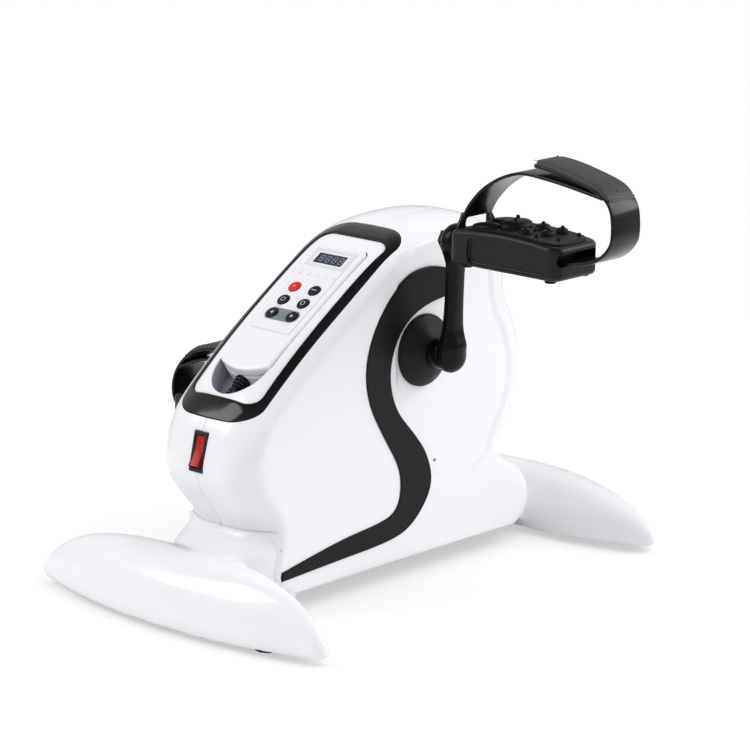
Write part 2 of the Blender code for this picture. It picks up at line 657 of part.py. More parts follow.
def add_feet():
    """Foot covers, cross tubes and rubber pads."""
    envelope = body_solid("body_envelope", -0.5, (-1, 1))
    under = box("under_body", (-143.0, -60.0, -10.0), (119.0, 60.0, FLOOR_Z + 4.0))
    near_flare = [(6.0, 30.0, 47.5), (46.0, 27.0, 47.5), (52.0, 22.0, 47.5), (56.0, 16.0, 46.0),
                  (59.0, 10.0, 43.0), (61.0, 5.0, 38.0), (63.0, 1.5, 33.0), (66.0, 0.0, 30.0)]
    far_flare = [(12.0, 20.0, 32.0), (38.0, 16.0, 32.0), (43.0, 9.0, 30.0), (48.0, 4.0, 28.0),
                 (52.0, 1.2, 26.0), (56.0, 0.0, 26.0)]
    feet = (("near", NEAR_FOOT, NEAR_TUBE_X, -176.0, -1, 47.9, near_flare),
            ("far", FAR_FOOT, FAR_TUBE_X, 140.0, 1, 36.0, far_flare))
    for end, shape, tube_x, end_x, side, half, flare in feet:
        cover = foot_solid(end + "_foot_cover", shape, 0.0, FOOT_EDGE_Z - 1.5, "white_gloss")
        room = foot_solid(end + "_foot_room", shape, WALL, -5.0)
        room_flare = [(-5.0, flare[0][1] - WALL, flare[0][2] - WALL)]
        room_flare += [(z - 2 * WALL, grow - WALL, radius - WALL)
                       for z, grow, radius in flare[1:-2]]
        boolean(cover, collar_solid(end + "_collar", end_x, side, half, flare), "UNION")
        boolean(room, collar_solid(end + "_collar_room", end_x, side, half - WALL, room_flare),
                "UNION")
        cut(cover, room, envelope, under)
        cylinder_y(end + "_foot_tube", tube_x, TUBE_Z, TUBE_RADIUS, -TUBE_HALF, TUBE_HALF,
                   "frame_paint")
        for name, sign in (("right", -1), ("left", 1)):
            add_pad("%s_%s_pad" % (end, name), tube_x, sign * PAD_Y)


def add_pad(name, x, y):
    bm = bmesh.new()
    height = TUBE_Z - TUBE_RADIUS - GAP
    bmesh.ops.create_cone(bm, cap_ends=True, segments=20, radius1=PAD_RADIUS,
                          radius2=PAD_RADIUS - 1.0, depth=height,
                          matrix=Matrix.Translation((x, y, height / 2)))
    add_object(name, mesh_from(bm, name), "black_rubber")


def add_frame():
    """Beam, post and bearing housing."""
    box("frame_beam", (NEAR_TUBE_X + TUBE_RADIUS + GAP, -BEAM_HALF_Y, BEAM_BOTTOM),
        (FAR_TUBE_X - TUBE_RADIUS - GAP, BEAM_HALF_Y, BEAM_TOP), "frame_paint", bevel=2.0)
    box("frame_post", (HUB_X - 20.0, -10.0, BEAM_TOP + GAP),
        (HUB_X + 20.0, 10.0, HUB_Z - HOUSING_RADIUS - GAP), "frame_paint", bevel=2.0)
    seat = HOUSING_HALF - BEARING_WIDTH - 0.6
    profile = [(HOUSING_RADIUS, -HOUSING_HALF), (HOUSING_RADIUS, HOUSING_HALF),
               (BEARING_RADIUS + GAP, HOUSING_HALF), (BEARING_RADIUS + GAP, seat),
               (12.0, seat), (12.0, -seat),
               (BEARING_RADIUS + GAP, -seat), (BEARING_RADIUS + GAP, -HOUSING_HALF)]
    turned_y("bearing_housing", HUB_X, HUB_Z, profile, "frame_paint")
    for side, sign in (("right", -1), ("left", 1)):
        low = seat + GAP if sign > 0 else -seat - GAP - BEARING_WIDTH
        turned_y("bearing_" + side, HUB_X, HUB_Z,
                 [(BEARING_RADIUS, low), (BEARING_RADIUS, low + BEARING_WIDTH),
                  (BEARING_BORE, low + BEARING_WIDTH), (BEARING_BORE, low)], "steel")


def belt_outline(grow):
    """Outline of an open belt round the two pulleys, grow outside their rims."""
    big, small = PULLEY_RADIUS + grow, MOTOR_PULLEY_RADIUS + grow
    reach = Vector((MOTOR_X - HUB_X, MOTOR_Z - HUB_Z))
    heading = math.atan2(reach.y, reach.x)
    spread = math.acos((big - small) / reach.length)
    outline = []
    for k in range(25):
        angle = heading + spread + (2 * math.pi - 2 * spread) * k / 24
        outline.append((HUB_X + big * math.cos(angle), HUB_Z + big * math.sin(angle)))
    for k in range(13):
        angle = heading - spread + 2 * spread * k / 12
        outline.append((MOTOR_X + small * math.cos(angle), MOTOR_Z + small * math.sin(angle)))
    return outline


def add_drive(crank_axis):
    """Motor, pulleys and belt. The shaft and the big pulley turn with the cranks."""
    low, high = PULLEY_Y - PULLEY_WIDTH / 2, PULLEY_Y + PULLEY_WIDTH / 2
    cylinder_y("crank_shaft", 0.0, 0.0, SHAFT_RADIUS, -SHAFT_HALF, SHAFT_HALF, "steel",
               crank_axis)
    turned_y("drive_pulley", 0.0, 0.0,
             [(PULLEY_RADIUS, low), (PULLEY_RADIUS, high), (PULLEY_RADIUS - 5, high),
              (PULLEY_RADIUS - 5, PULLEY_Y + 2), (14.0, PULLEY_Y + 2), (14.0, high),
              (SHAFT_RADIUS + GAP, high), (SHAFT_RADIUS + GAP, low)], "black_satin", crank_axis,
             steps=32)
    motor_axis = empty("motor_axis", (MOTOR_X, 0.0, MOTOR_Z))
    motor_axis.parent = BODY
    turned_y("motor", MOTOR_X, MOTOR_Z,
             [(0.0, -32.0), (25.0, -32.0), (25.0, 20.0), (16.0, 20.0), (16.0, 27.0),
              (4.3, 27.0), (4.3, 8.0), (0.0, 8.0)], "steel", closed=False)
    turned_y("motor_pulley", 0.0, 0.0,
             [(0.0, 9.0), (4.0, 9.0), (4.0, low), (MOTOR_PULLEY_RADIUS, low),
              (MOTOR_PULLEY_RADIUS, high), (0.0, high)], "steel", motor_axis, steps=20,
             closed=False)
    bracket = box("motor_bracket", (MOTOR_X - 26, 20.6, BEAM_TOP + GAP),
                  (MOTOR_X + 26, 23.6, MOTOR_Z + 26), "frame_paint")
    flange = box("bracket_flange", (MOTOR_X - 26, -14.0, BEAM_TOP + GAP),
                 (MOTOR_X + 26, 22.0, BEAM_TOP + GAP + 3.0))
    boolean(bracket, flange, "UNION")
    cut(bracket, cylinder_y("bracket_hole", MOTOR_X, MOTOR_Z, 16.4, 15.0, 30.0))
    flat_outline("drive_belt", [belt_outline(GAP + BELT_THICKNESS), belt_outline(GAP)], 4.0,
                 ALONG_Y, "black_rubber", None, (0.0, PULLEY_Y, 0.0))


def add_electrics():
    """Rocker switch on the nose, mains inlet at the back, boards on the beam."""
    frame = switch_frame(BODY)
    frame.name = "rocker_axis"
    housing = box("switch_housing", (-1.7, -6.6, -15.0), (0.7, 6.6, 15.0), "black_satin", frame)
    boolean(housing, box("switch_body", (-1.0, -5.9, -14.0), (18.0, 5.9, 14.0), None, frame),
            "UNION")
    cut(housing, box("switch_room", (-9.0, -4.6, -12.4), (9.0, 4.6, 12.4), None, frame))
    level = [(-2.2, 11.5), (3.5, 10.8), (6.5, 0.0), (3.5, -10.8), (-2.2, -11.5), (-1.0, 0.0)]
    turn = ROCKER_THROW / 2
    side = [(x * math.cos(turn) + z * math.sin(turn), z * math.cos(turn) - x * math.sin(turn))
            for x, z in level]
    flat_outline("switch_rocker", [side], 4.3, ALONG_Y, "red_gloss", frame)
    inlet = inlet_frame(BODY)
    socket = box("mains_inlet", (-15.0, -14.0, -9.0), (2.0, 14.0, 9.0), "black_satin", inlet)
    boolean(socket, box("inlet_flange", (1.1, -19.0, -12.0), (3.6, 19.0, 12.0), None, inlet),
            "UNION")
    cut(socket, box("inlet_room", (-11.0, -10.0, -6.0), (9.0, 10.0, 6.0), None, inlet))
    box("control_board", (22.0, -30.0, BEAM_TOP + GAP), (88.0, 30.0, BEAM_TOP + GAP + 1.6),
        "board_green")
    box("power_module", (32.0, -18.0, BEAM_TOP + 2.2 + GAP), (76.0, 18.0, 62.0), "black_satin")


# Points of the S-shaped stripe on the side panel: its front edge and its rear edge, from the top
STRIPE_FRONT = [(22.0, 238.0), (2.0, 242.0), (-21.0, 239.0), (-43.0, 224.0), (-61.0, 200.0),
                (-69.0, 173.0), (-64.0, 145.0), (-46.0, 115.0), (-31.0, 92.0), (-27.5, 73.0),
                (-33.0, 58.0), (-50.0, 51.5), (-95.0, 47.0), (-158.0, 36.0)]
STRIPE_REAR = [(20.0, 216.0), (0.0, 213.0), (-20.0, 205.0), (-36.0, 188.0), (-42.0, 163.0),
               (-34.0, 137.0), (-16.0, 117.0), (0.0, 98.0), (8.0, 75.0), (0.0, 56.0),
               (-20.0, 39.5), (-50.0, 34.0), (-95.0, 32.0), (-159.5, 29.0)]


def add_side_trim():
    """The S-shaped stripes and the hub covers, one on each side."""
    front = smooth_path(STRIPE_FRONT, 3)
    rear = smooth_path(STRIPE_REAR, 3)
    for side, sign in (("right", -1), ("left", 1)):
        outline = front + rear[::-1]
        flat_outline("stripe_" + side, [outline], 0.4, ALONG_Y, "black_gloss", None,
                     (0.0, sign * (HALF_WIDTH + GAP + 0.4), 0.0))
        inner = sign * (HALF_WIDTH + GAP)
        turned_y("hub_cover_" + side, HUB_X, HUB_Z,
                 [(28.0, inner), (28.0, inner + sign * 1.8), (20.0, inner + sign * 8.0),
                  (12.0, inner + sign * 12.0),
                  (SHAFT_RADIUS + 1.0, inner + sign * 13.0), (SHAFT_RADIUS + 1.0, inner)],
                 "black_satin")


def band_outline(path, thickness):
    """A closed outline of a band that follows a path."""
    left, right = [], []
    for i, point in enumerate(path):
        before = Vector(path[max(i - 1, 0)])
        after = Vector(path[min(i + 1, len(path) - 1)])
        along = (after - before).normalized()
        normal = Vector((-along.y, along.x)) * thickness / 2
        left.append(tuple(Vector(point) + normal))
        right.append(tuple(Vector(point) - normal))
    return left + right[::-1]


def add_crank(side, sign, crank_axis):
    """One crank arm, with its spindle. sign is -1 on the right, whose crank points up."""
    up = -sign
    arm = crank_arm("crank_" + side, sign, up, crank_axis)
    bosses = (("hub_boss_", CRANK_HUB_Y, 0.0, CRANK_HUB_RADIUS, CRANK_HUB_THICK),
              ("end_boss_", CRANK_END_Y, CRANK_LENGTH, CRANK_END_RADIUS, CRANK_END_THICK))
    for name, y, z, radius, thick in bosses:
        part = cylinder_y(name + side, 0.0, up * z, radius, sign * y - thick / 2,
                          sign * y + thick / 2, None, crank_axis)
        round_edges(part, 4.0)
        boolean(arm, part, "UNION")
    shaft_end = sorted((sign * 60.0, sign * (SHAFT_HALF + GAP)))
    cut(arm, cylinder_y("shaft_bore_" + side, 0.0, 0.0, SHAFT_RADIUS + GAP, *shaft_end, None,
                        crank_axis),
        cylinder_y("spindle_bore_" + side, 0.0, up * CRANK_LENGTH, SPINDLE_RADIUS + GAP,
                   *sorted((sign * 60.0, sign * 110.0)), None, crank_axis))
    inner = CRANK_END_Y - CRANK_END_THICK / 2
    span = sorted((sign * (inner + 0.5), sign * 182.0))
    cylinder_y("spindle_" + side, 0.0, up * CRANK_LENGTH, SPINDLE_RADIUS, *span, "steel",
               crank_axis, sides=16)
    nut = sorted((sign * (inner - 4.5), sign * (inner - GAP)))
    cylinder_y("spindle_nut_" + side, 0.0, up * CRANK_LENGTH, 8.0, *nut, "steel", crank_axis,
               sides=6)


def crank_arm(name, sign, up, crank_axis):
    """A tapering bar between the two bosses, leaning outwards."""
    bm = bmesh.new()
    bmesh.ops.create_cube(bm, size=1.0)
    for vert in bm.verts:
        end = vert.co.z > 0
        width, thick = (14.0, 9.5) if end else (18.0, 11.0)
        y = CRANK_END_Y if end else CRANK_HUB_Y
        vert.co = Vector((vert.co.x * width, sign * y + vert.co.y * thick,
                          up * (CRANK_LENGTH - 4.0 if end else 4.0)))
    obj = add_object(name, mesh_from(bm, name), "black_satin", crank_axis)
    round_edges(obj, 2.0)
    return obj


def add_pedal(side, sign, strap_paths):
    """Pedal, pad and strap, on an empty at the spindle's axis."""
    up = -sign
    lean = -CRANK_LEAN * up
    spot = (HUB_X + CRANK_LENGTH * math.sin(lean), 0.0,
            HUB_Z + up * CRANK_LENGTH * math.cos(lean))
    axis = empty("pedal_axis_" + side, spot, (0.0, 0.0, 0.0), BODY)
    y_low, y_high = sorted((sign * PEDAL_INNER_Y, sign * PEDAL_OUTER_Y))
    outline = rounded_rect(y_low, y_high, 26.0, 8.0, steps=4)
    centre_x = (PEDAL_X_FROM + PEDAL_X_TO) / 2
    middle_z = (PEDAL_Z_FROM + PEDAL_Z_TO) / 2
    half_z = (PEDAL_Z_TO - PEDAL_Z_FROM) / 2
    body = flat_outline("pedal_" + side, [[(x + centre_x, y) for y, x in outline]], half_z,
                        (0.0, 0.0, 0.0), "black_satin", axis, (0.0, 0.0, middle_z))
    round_edges(body, 2.0)
    bore = cylinder_y("pedal_bore_" + side, 0.0, 0.0, SPINDLE_RADIUS + GAP,
                      *sorted((sign * 90.0, sign * 183.0)), None, axis)
    root = sorted((sign * 101.5, sign * 105.5))
    root_slot = box("strap_slot_" + side, (-25.5, root[0], 7.6), (19.5, root[1], 20.0), None, axis)
    end = sorted((sign * 189.0, sign * 210.0))
    end_slot = box("strap_exit_" + side, (STRAP_X - 17.0, end[0], 0.9),
                   (STRAP_X + 17.0, end[1], 4.7), None, axis)
    cut(body, bore, root_slot, end_slot)
    pad = [(x + centre_x, sign * y) for y, x in rounded_rect(110.0, 192.0, 20.0, 14.0)]
    pad_obj = flat_outline("pedal_pad_" + side, [pad], 2.5, (0.0, 0.0, 0.0), "black_rubber",
                           axis, (0.0, 0.0, PEDAL_Z_TO + GAP + 2.5))
    round_edges(pad_obj, 1.5)
    add_strap(side, sign, strap_paths, axis)


def add_strap(side, sign, paths, axis):
    """The foot strap: a lower band with a slotted root, and the outer band laid over it."""
    pieces = []
    for index, path in enumerate(paths):
        outline = band_outline([(sign * y, z) for y, z in smooth_path(path, 2)], STRAP_THICK)
        name = "strap_" + side if index == 0 else "strap_outer_" + side
        pieces.append(flat_outline(name, [outline], STRAP_WIDTH / 2, ALONG_X,
                                   "black_rubber" if index == 0 else None, axis,
                                   (STRAP_X, 0.0, 0.0)))
    strap, outer = pieces
    boolean(strap, outer, "UNION")
    y_low, y_high = sorted((sign * (103.5 - STRAP_THICK / 2), sign * (103.5 + STRAP_THICK / 2)))
    yoke = box("strap_yoke_" + side, (-24.5, y_low, 8.3), (18.5, y_high, 26.0), None, axis)
    boolean(strap, yoke, "UNION")
    cut(strap, box("strap_window_" + side, (-16.0, y_low - 4, 16.0), (9.0, y_high + 4, 23.5), None,
                   axis))


def hold_in_body():
    """Parent everything that has no parent to the empty that carries the origin shift."""
    for obj in list(PARTS.objects) + list(CUTTERS.objects):
        if obj.parent is None and obj is not BODY:
            obj.parent = BODY


make_materials()
BODY = empty("body_frame", ORIGIN_SHIFT)
add_shells()
add_console_trim()
add_handset(empty("console_frame", (CONSOLE_X, 0.0, CONSOLE_Z), (0.0, -CONSOLE_SLOPE, 0.0), BODY))
add_feet()
add_frame()
CRANK_AXIS = empty("crank_axis", (HUB_X, 0.0, HUB_Z), (0.0, -CRANK_LEAN, 0.0), BODY)
add_drive(CRANK_AXIS)
add_electrics()
add_side_trim()
add_crank("right", -1, CRANK_AXIS)
add_crank("left", 1, CRANK_AXIS)
add_pedal("right", -1, RIGHT_STRAP)
add_pedal("left", 1, LEFT_STRAP)
hold_in_body()
bpy.context.view_layer.update()
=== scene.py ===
"""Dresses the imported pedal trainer: smooth shells, console, handset, feet, cranks, pedals, straps.

Shapes are written in millimetres in the body's own frame, whose y = 0 is the body's mirror plane
and whose floor is z = 0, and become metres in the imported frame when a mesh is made.
"""
import json
import math

import bmesh
import bpy
from bpy.props import FloatProperty, FloatVectorProperty, IntProperty, PointerProperty
from bpy.types import Operator, Panel, PropertyGroup
from mathutils import Matrix, Vector
from mathutils.bvhtree import BVHTree


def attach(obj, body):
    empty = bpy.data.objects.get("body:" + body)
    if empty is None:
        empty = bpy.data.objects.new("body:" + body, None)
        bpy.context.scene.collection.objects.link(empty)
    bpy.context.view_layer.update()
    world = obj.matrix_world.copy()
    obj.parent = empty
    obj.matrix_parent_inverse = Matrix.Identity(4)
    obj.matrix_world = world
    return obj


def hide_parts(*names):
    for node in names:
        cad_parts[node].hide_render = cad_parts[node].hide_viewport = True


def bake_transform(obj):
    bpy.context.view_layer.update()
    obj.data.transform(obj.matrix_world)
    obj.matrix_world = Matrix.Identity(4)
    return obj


bl_info = {
    "name": "Pedal trainer dressing",
    "version": (1, 0, 0),
    "blender": (4, 5, 0),
    "location": "View3D > Sidebar > Trainer",
    "description": "Builds the visible surfaces of a motorised mini pedal trainer over its frame",
    "category": "Object",
}

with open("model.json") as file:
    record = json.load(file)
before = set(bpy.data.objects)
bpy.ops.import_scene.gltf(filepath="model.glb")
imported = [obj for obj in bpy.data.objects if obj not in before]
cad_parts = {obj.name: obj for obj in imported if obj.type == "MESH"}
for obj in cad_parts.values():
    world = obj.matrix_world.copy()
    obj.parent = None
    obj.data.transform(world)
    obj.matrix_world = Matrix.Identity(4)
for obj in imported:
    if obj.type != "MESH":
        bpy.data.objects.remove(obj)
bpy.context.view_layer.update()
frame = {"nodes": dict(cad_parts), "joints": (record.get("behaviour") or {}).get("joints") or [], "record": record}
JOINTS = {joint["name"]: joint for joint in frame["joints"]}

MM = 0.001
# The crank axis in the body's own frame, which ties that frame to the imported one
HUB_X, HUB_Z = -4.0, 178.0
SHIFT = Vector(JOINTS["crank_spin"]["pos_m"]) - Vector((HUB_X, 0.0, HUB_Z)) * MM

# Console plane: a point on it and its slope
CONSOLE_X, CONSOLE_Z, CONSOLE_SLOPE = -108.9, 213.9, math.radians(33.14)
CRANK_LENGTH, CRANK_LEAN = 90.0, math.radians(3.2)
FLOOR_Z, HALF_WIDTH = 15.0, 48.0
# The sign of y on each side
SIDES = {"right": -1, "left": 1}

# Ribs of the body, from the base's near corner over the console to its far corner: x and z at
# the side panel, x and z at the middle plane, half width, the share of the width that is flat,
# then roundness and edge exponent of the rest
BODY_RIBS = [
    (-148.0, 15.0, -148.0, 15.0, 48.0, 0.1, 4.0, 0.25),
    (-160.0, 31.0, -168.0, 31.0, 48.0, 0.1, 3.4, 0.3),
    (-156.0, 50.0, -172.0, 50.0, 48.0, 0.1, 2.6, 0.7),
    (-153.5, 67.0, -172.5, 67.0, 48.0, 0.1, 2.4, 1.0),
    (-160.0, 79.5, -179.5, 78.0, 47.5, 0.1, 3.2, 1.0),
    (-172.0, 94.0, -192.0, 93.0, 47.0, 0.1, 3.8, 1.0),
    (-181.0, 113.0, -199.5, 111.0, 46.5, 0.1, 4.6, 1.0),
    (-181.5, 128.0, -196.2, 127.0, 46.5, 0.1, 4.4, 1.0),
    (-174.5, 146.0, -190.7, 146.0, 46.5, 0.1, 3.4, 1.0),
    (-161.0, 160.0, -179.5, 162.0, 47.0, 0.1, 2.5, 1.0),
    (-143.5, 174.0, -157.0, 181.6, 47.5, 0.3, 2.0, 1.0),
    (-113.0, 197.0, -123.5, 204.3, 48.0, 0.6, 1.5, 1.0),
    (-52.0, 236.0, -58.5, 246.4, 48.0, 0.66, 1.4, 1.0),
    (-31.0, 250.0, -36.0, 258.6, 48.0, 0.6, 1.5, 0.9),
    (-8.0, 259.0, -8.5, 267.5, 48.0, 0.4, 1.8, 0.8),
    (20.0, 260.5, 20.0, 272.5, 48.0, 0.2, 2.0, 0.6),
    (58.0, 257.0, 60.0, 272.5, 48.0, 0.1, 2.2, 0.5),
    (79.0, 243.0, 91.0, 263.0, 48.0, 0.1, 2.3, 0.45),
    (83.0, 222.0, 102.0, 238.0, 48.0, 0.1, 2.4, 0.42),
    (86.5, 201.0, 104.0, 208.0, 48.0, 0.1, 2.5, 0.4),
    (102.0, 176.0, 118.0, 181.0, 48.0, 0.1, 2.5, 0.4),
    (109.0, 149.0, 127.0, 150.0, 48.0, 0.1, 2.5, 0.4),
    (105.0, 123.0, 120.0, 117.5, 48.0, 0.1, 2.6, 0.38),
    (93.0, 101.0, 103.2, 94.6, 48.0, 0.1, 2.8, 0.36),
    (84.0, 84.0, 92.0, 84.1, 48.0, 0.1, 3.0, 0.33),
    (94.0, 70.0, 98.3, 75.5, 48.0, 0.1, 3.2, 0.31),
    (113.0, 58.0, 119.6, 65.5, 48.0, 0.1, 3.0, 0.33),
    (124.0, 41.0, 135.6, 44.0, 48.0, 0.1, 3.0, 0.33),
    (122.0, 25.0, 129.1, 21.4, 48.0, 0.1, 3.4, 0.3),
    (113.0, 15.0, 113.0, 15.0, 48.0, 0.1, 4.0, 0.25),
]
BODY_CENTRE = Vector((-30.0, 110.0))
# Every finish by the name that the pieces ask for, filled once the materials are made
FINISHES = {}


# Settings that a user would change


class StageSettings(PropertyGroup):
    """Camera and light."""
    lens: FloatProperty(name="Lens", description="Focal length of the camera", default=153.6)
    elevation: FloatProperty(name="Elevation", description="Camera height above the horizon",
                             subtype="ANGLE", default=math.radians(14.1))
    azimuth: FloatProperty(name="Azimuth", description="Camera's turn towards the console side",
                           subtype="ANGLE", default=math.radians(48.4))
    roll: FloatProperty(name="Roll", description="Camera's roll", subtype="ANGLE",
                        default=math.radians(0.9))
    distance: FloatProperty(name="Distance", description="Camera to the aiming point, in mm",
                            default=2500.0)
    sky: FloatProperty(name="Sky", description="Strength of the light from all round",
                       default=0.68)
    mirror: FloatProperty(name="Mirror", description="Strength of what gloss reflects",
                          default=0.75)
    right: FloatProperty(name="Right lamp", description="Power of the lamp on the hub side",
                         unit="POWER", default=29.0)
    left: FloatProperty(name="Left lamp", description="Power of the lamp past the nose",
                        unit="POWER", default=20.5)
    top: FloatProperty(name="Top lamp", description="Power of the lamp overhead", unit="POWER",
                       default=13.5)


class BodySettings(PropertyGroup):
    """The two body shells."""
    wall: FloatProperty(name="Wall", description="Thickness of a shell, in mm", default=2.6)
    rib_steps: IntProperty(name="Rib steps", description="Rings between two ribs", default=8)
    cross_steps: IntProperty(name="Cross steps", description="Points from flat to panel",
                             default=18)
    seam: FloatProperty(name="Seam", description="Half the width of the seam's groove, in mm",
                        default=0.3)
    recess: FloatProperty(name="Recess", description="Depth of the hub side's recess, in mm",
                          default=1.3)


class ConsoleSettings(PropertyGroup):
    """Ring, tray and handset, along and across the console plane, in mm."""
    ring_from: FloatProperty(name="Ring from", description="Ring's lower end", default=-101.0)
    ring_to: FloatProperty(name="Ring to", description="Ring's upper end", default=114.0)
    ring_half: FloatProperty(name="Ring half", description="Ring's half width", default=40.6)
    tray_from: FloatProperty(name="Tray from", description="Tray's lower end", default=-83.0)
    tray_to: FloatProperty(name="Tray to", description="Tray's upper end", default=95.0)
    tray_half: FloatProperty(name="Tray half", description="Tray's half width", default=34.0)
    pocket: FloatProperty(name="Pocket", description="Depth of the handset's cradle", default=20.2)
    button: FloatProperty(name="Button", description="Radius of a handset button", default=4.9)


class FootSettings(PropertyGroup):
    """The wing-shaped foot covers, in mm."""
    half_length: FloatProperty(name="Half length", description="Half a foot's span", default=145.4)
    tip: FloatProperty(name="Tip", description="Radius of a foot's round end", default=9.0)
    voxel: FloatProperty(name="Voxel", description="Grain of the blended surface, in mm",
                         default=2.0)


class PedalSettings(PropertyGroup):
    """Cranks, pedals and straps, in mm."""
    strap_width: FloatProperty(name="Strap width", description="Width of a foot strap",
                               default=32.0)
    strap_thick: FloatProperty(name="Strap thickness", description="Thickness of a foot strap",
                               default=2.4)
    nub: FloatProperty(name="Nub", description="Radius of a grip nub on the pad", default=1.6)


class FinishSettings(PropertyGroup):
    """Colours of the main finishes."""
    white: FloatVectorProperty(name="White", description="Glossy shell plastic",
                               subtype="COLOR", size=3, default=(0.865, 0.865, 0.885))
    black: FloatVectorProperty(name="Black", description="Ring and stripe plastic",
                               subtype="COLOR", size=3, default=(0.008, 0.008, 0.009))
    red: FloatVectorProperty(name="Red", description="Stop button", subtype="COLOR", size=3,
                             default=(0.72, 0.012, 0.010))
    rocker: FloatVectorProperty(name="Rocker", description="Mains switch rocker",
                                subtype="COLOR", size=3, default=(0.42, 0.016, 0.014))


# Small tools for meshes


def console_point(along, across, height):
    """A point of the console's frame, in the body's frame."""
    return Vector((CONSOLE_X + along * math.cos(CONSOLE_SLOPE) - height * math.sin(CONSOLE_SLOPE),
                   across,
                   CONSOLE_Z + along * math.sin(CONSOLE_SLOPE) + height * math.cos(CONSOLE_SLOPE)))


def blend_points(a, b, share):
    """The point that lies share of the way from a to b."""
    return tuple(p + (q - p) * share for p, q in zip(a, b))


def smooth_path(points, steps):
    """Catmull-Rom points through a list of tuples, with steps points a span."""
    path = []
    last = len(points) - 1
    for i in range(last):
        before, a, b, after = (points[max(i - 1, 0)], points[i], points[i + 1],
                               points[min(i + 2, last)])
        for k in range(steps):
            t = k / steps
            path.append(tuple(
                0.5 * (2 * q + (r - p) * t + (2 * p - 5 * q + 4 * r - s) * t * t
                       + (3 * q - p - 3 * r + s) * t ** 3)
                for p, q, r, s in zip(before, a, b, after)))
    path.append(points[last])
    return path


def relaxed(points, passes):
    """Points evened out along their line, with both ends kept."""
    for _ in range(passes):
        middle = [tuple((p + 2 * q + r) / 4 for p, q, r in zip(a, b, c))
                  for a, b, c in zip(points, points[1:], points[2:])]
        points = [points[0], *middle, points[-1]]
    return points


def inset_loop(loop, distance):
    """A closed 2-D loop, run anticlockwise, moved inwards by distance."""
    moved = []
    for i, point in enumerate(loop):
        before = Vector(loop[i - 1])
        after = Vector(loop[(i + 1) % len(loop)])
        here = Vector(point)
        one = (here - before).normalized()
        two = (after - here).normalized()
        normal = Vector((-one.y - two.y, one.x + two.x)).normalized()
        lean = max(normal.dot(Vector((-one.y, one.x))), 0.35)
        moved.append(tuple(here + normal * distance / lean))
    return moved


def rounded_rect(x_from, x_to, half, radius, barrel=0.0, end_bulge=0.0, corner=10, side=24,
                 end=10):
    """Outline of a rounded rectangle with slightly bulging sides and ends, anticlockwise."""
    spots = [(x_to - radius, half - radius), (x_from + radius, half - radius),
             (x_from + radius, radius - half), (x_to - radius, radius - half)]
    outline = []
    for index, (cx, cy) in enumerate(spots):
        start = math.radians(90 * index)
        arc = [(cx + radius * math.cos(start + math.radians(90 * k / corner)),
                cy + radius * math.sin(start + math.radians(90 * k / corner)))
               for k in range(corner + 1)]
        outline += arc
        next_x, next_y = spots[(index + 1) % 4]
        turn = math.radians(90 * (index + 1))
        target = (next_x + radius * math.cos(turn), next_y + radius * math.sin(turn))
        count = side if index % 2 == 0 else end
        outline += [blend_points(arc[-1], target, k / count) for k in range(1, count)]
    middle, reach = (x_from + x_to) / 2, (x_to - x_from) / 2
    shaped = []
    for x, y in outline:
        u, v = (x - middle) / reach, y / half
        shaped.append((x - end_bulge * v * v * math.copysign(abs(u) ** 4, u),
                       y - barrel * u * u * math.copysign(1.0, y)))
    return shaped


def loft(loops, ring=True, caps=True):
    """A bmesh through loops of equal counts. ring closes each loop, caps close the two ends."""
    bm = bmesh.new()
    rows = [[bm.verts.new(point) for point in loop] for loop in loops]
    for row, following in zip(rows, rows[1:]):
        count = len(row)
        for k in range(count if ring else count - 1):
            n = (k + 1) % count
            bm.faces.new((row[k], row[n], following[n], following[k]))
    if caps:
        bm.faces.new(rows[0])
        bm.faces.new(rows[-1])
    bmesh.ops.recalc_face_normals(bm, faces=bm.faces)
    return bm


def slab(outline, low, high, radius, place, steps=4, cap_ring=1.0):
    """A closed slab over a 2-D outline, with rounded edges. place puts (a, b, height) in 3-D."""
    arc = [math.radians(90 * k / steps) for k in range(steps + 1)]
    levels = [(radius + cap_ring, low)]
    levels += [(radius * (1 - math.sin(a)), low + radius * (1 - math.cos(a))) for a in arc]
    levels += [(radius * (1 - math.cos(a)), high - radius * (1 - math.sin(a))) for a in arc]
    levels += [(radius + cap_ring, high)]
    return loft([[place(a, b, height) for a, b in inset_loop(outline, inset)]
                 for inset, height in levels])


def merged(bm, dist=1e-4):
    """Merge the points that meet, and turn every face outwards."""
    bmesh.ops.remove_doubles(bm, verts=bm.verts, dist=dist)
    bmesh.ops.recalc_face_normals(bm, faces=bm.faces)
    return bm


def angles(count):
    """Angles at even steps round a circle."""
    return [2 * math.pi * k / count for k in range(count)]


def turned(profile, centre, axis="Y", steps=72):
    """A closed solid turned about an axis through centre, from (radius, distance) points."""
    loops = []
    for angle in angles(steps):
        loop = []
        for radius, distance in profile:
            a, b = radius * math.cos(angle), radius * math.sin(angle)
            spot = {"Y": (a, distance, b), "X": (distance, a, b), "Z": (a, b, distance)}[axis]
            loop.append(Vector(centre) + Vector(spot))
        loops.append(loop)
    return merged(loft(loops + [loops[0]], caps=False))


def outward(profile, sign):
    """A turning profile with its distances on the side that sign says."""
    return [(radius, sign * distance) for radius, distance in profile]


def rod(name, centre, radius, low, high, steps):
    """A plain turned rod or bore along Y, with low and high its two ends."""
    profile = [(0.0, low), (radius, low), (radius, high), (0.0, high)]
    return make_object(name, turned(profile, centre, steps=steps))


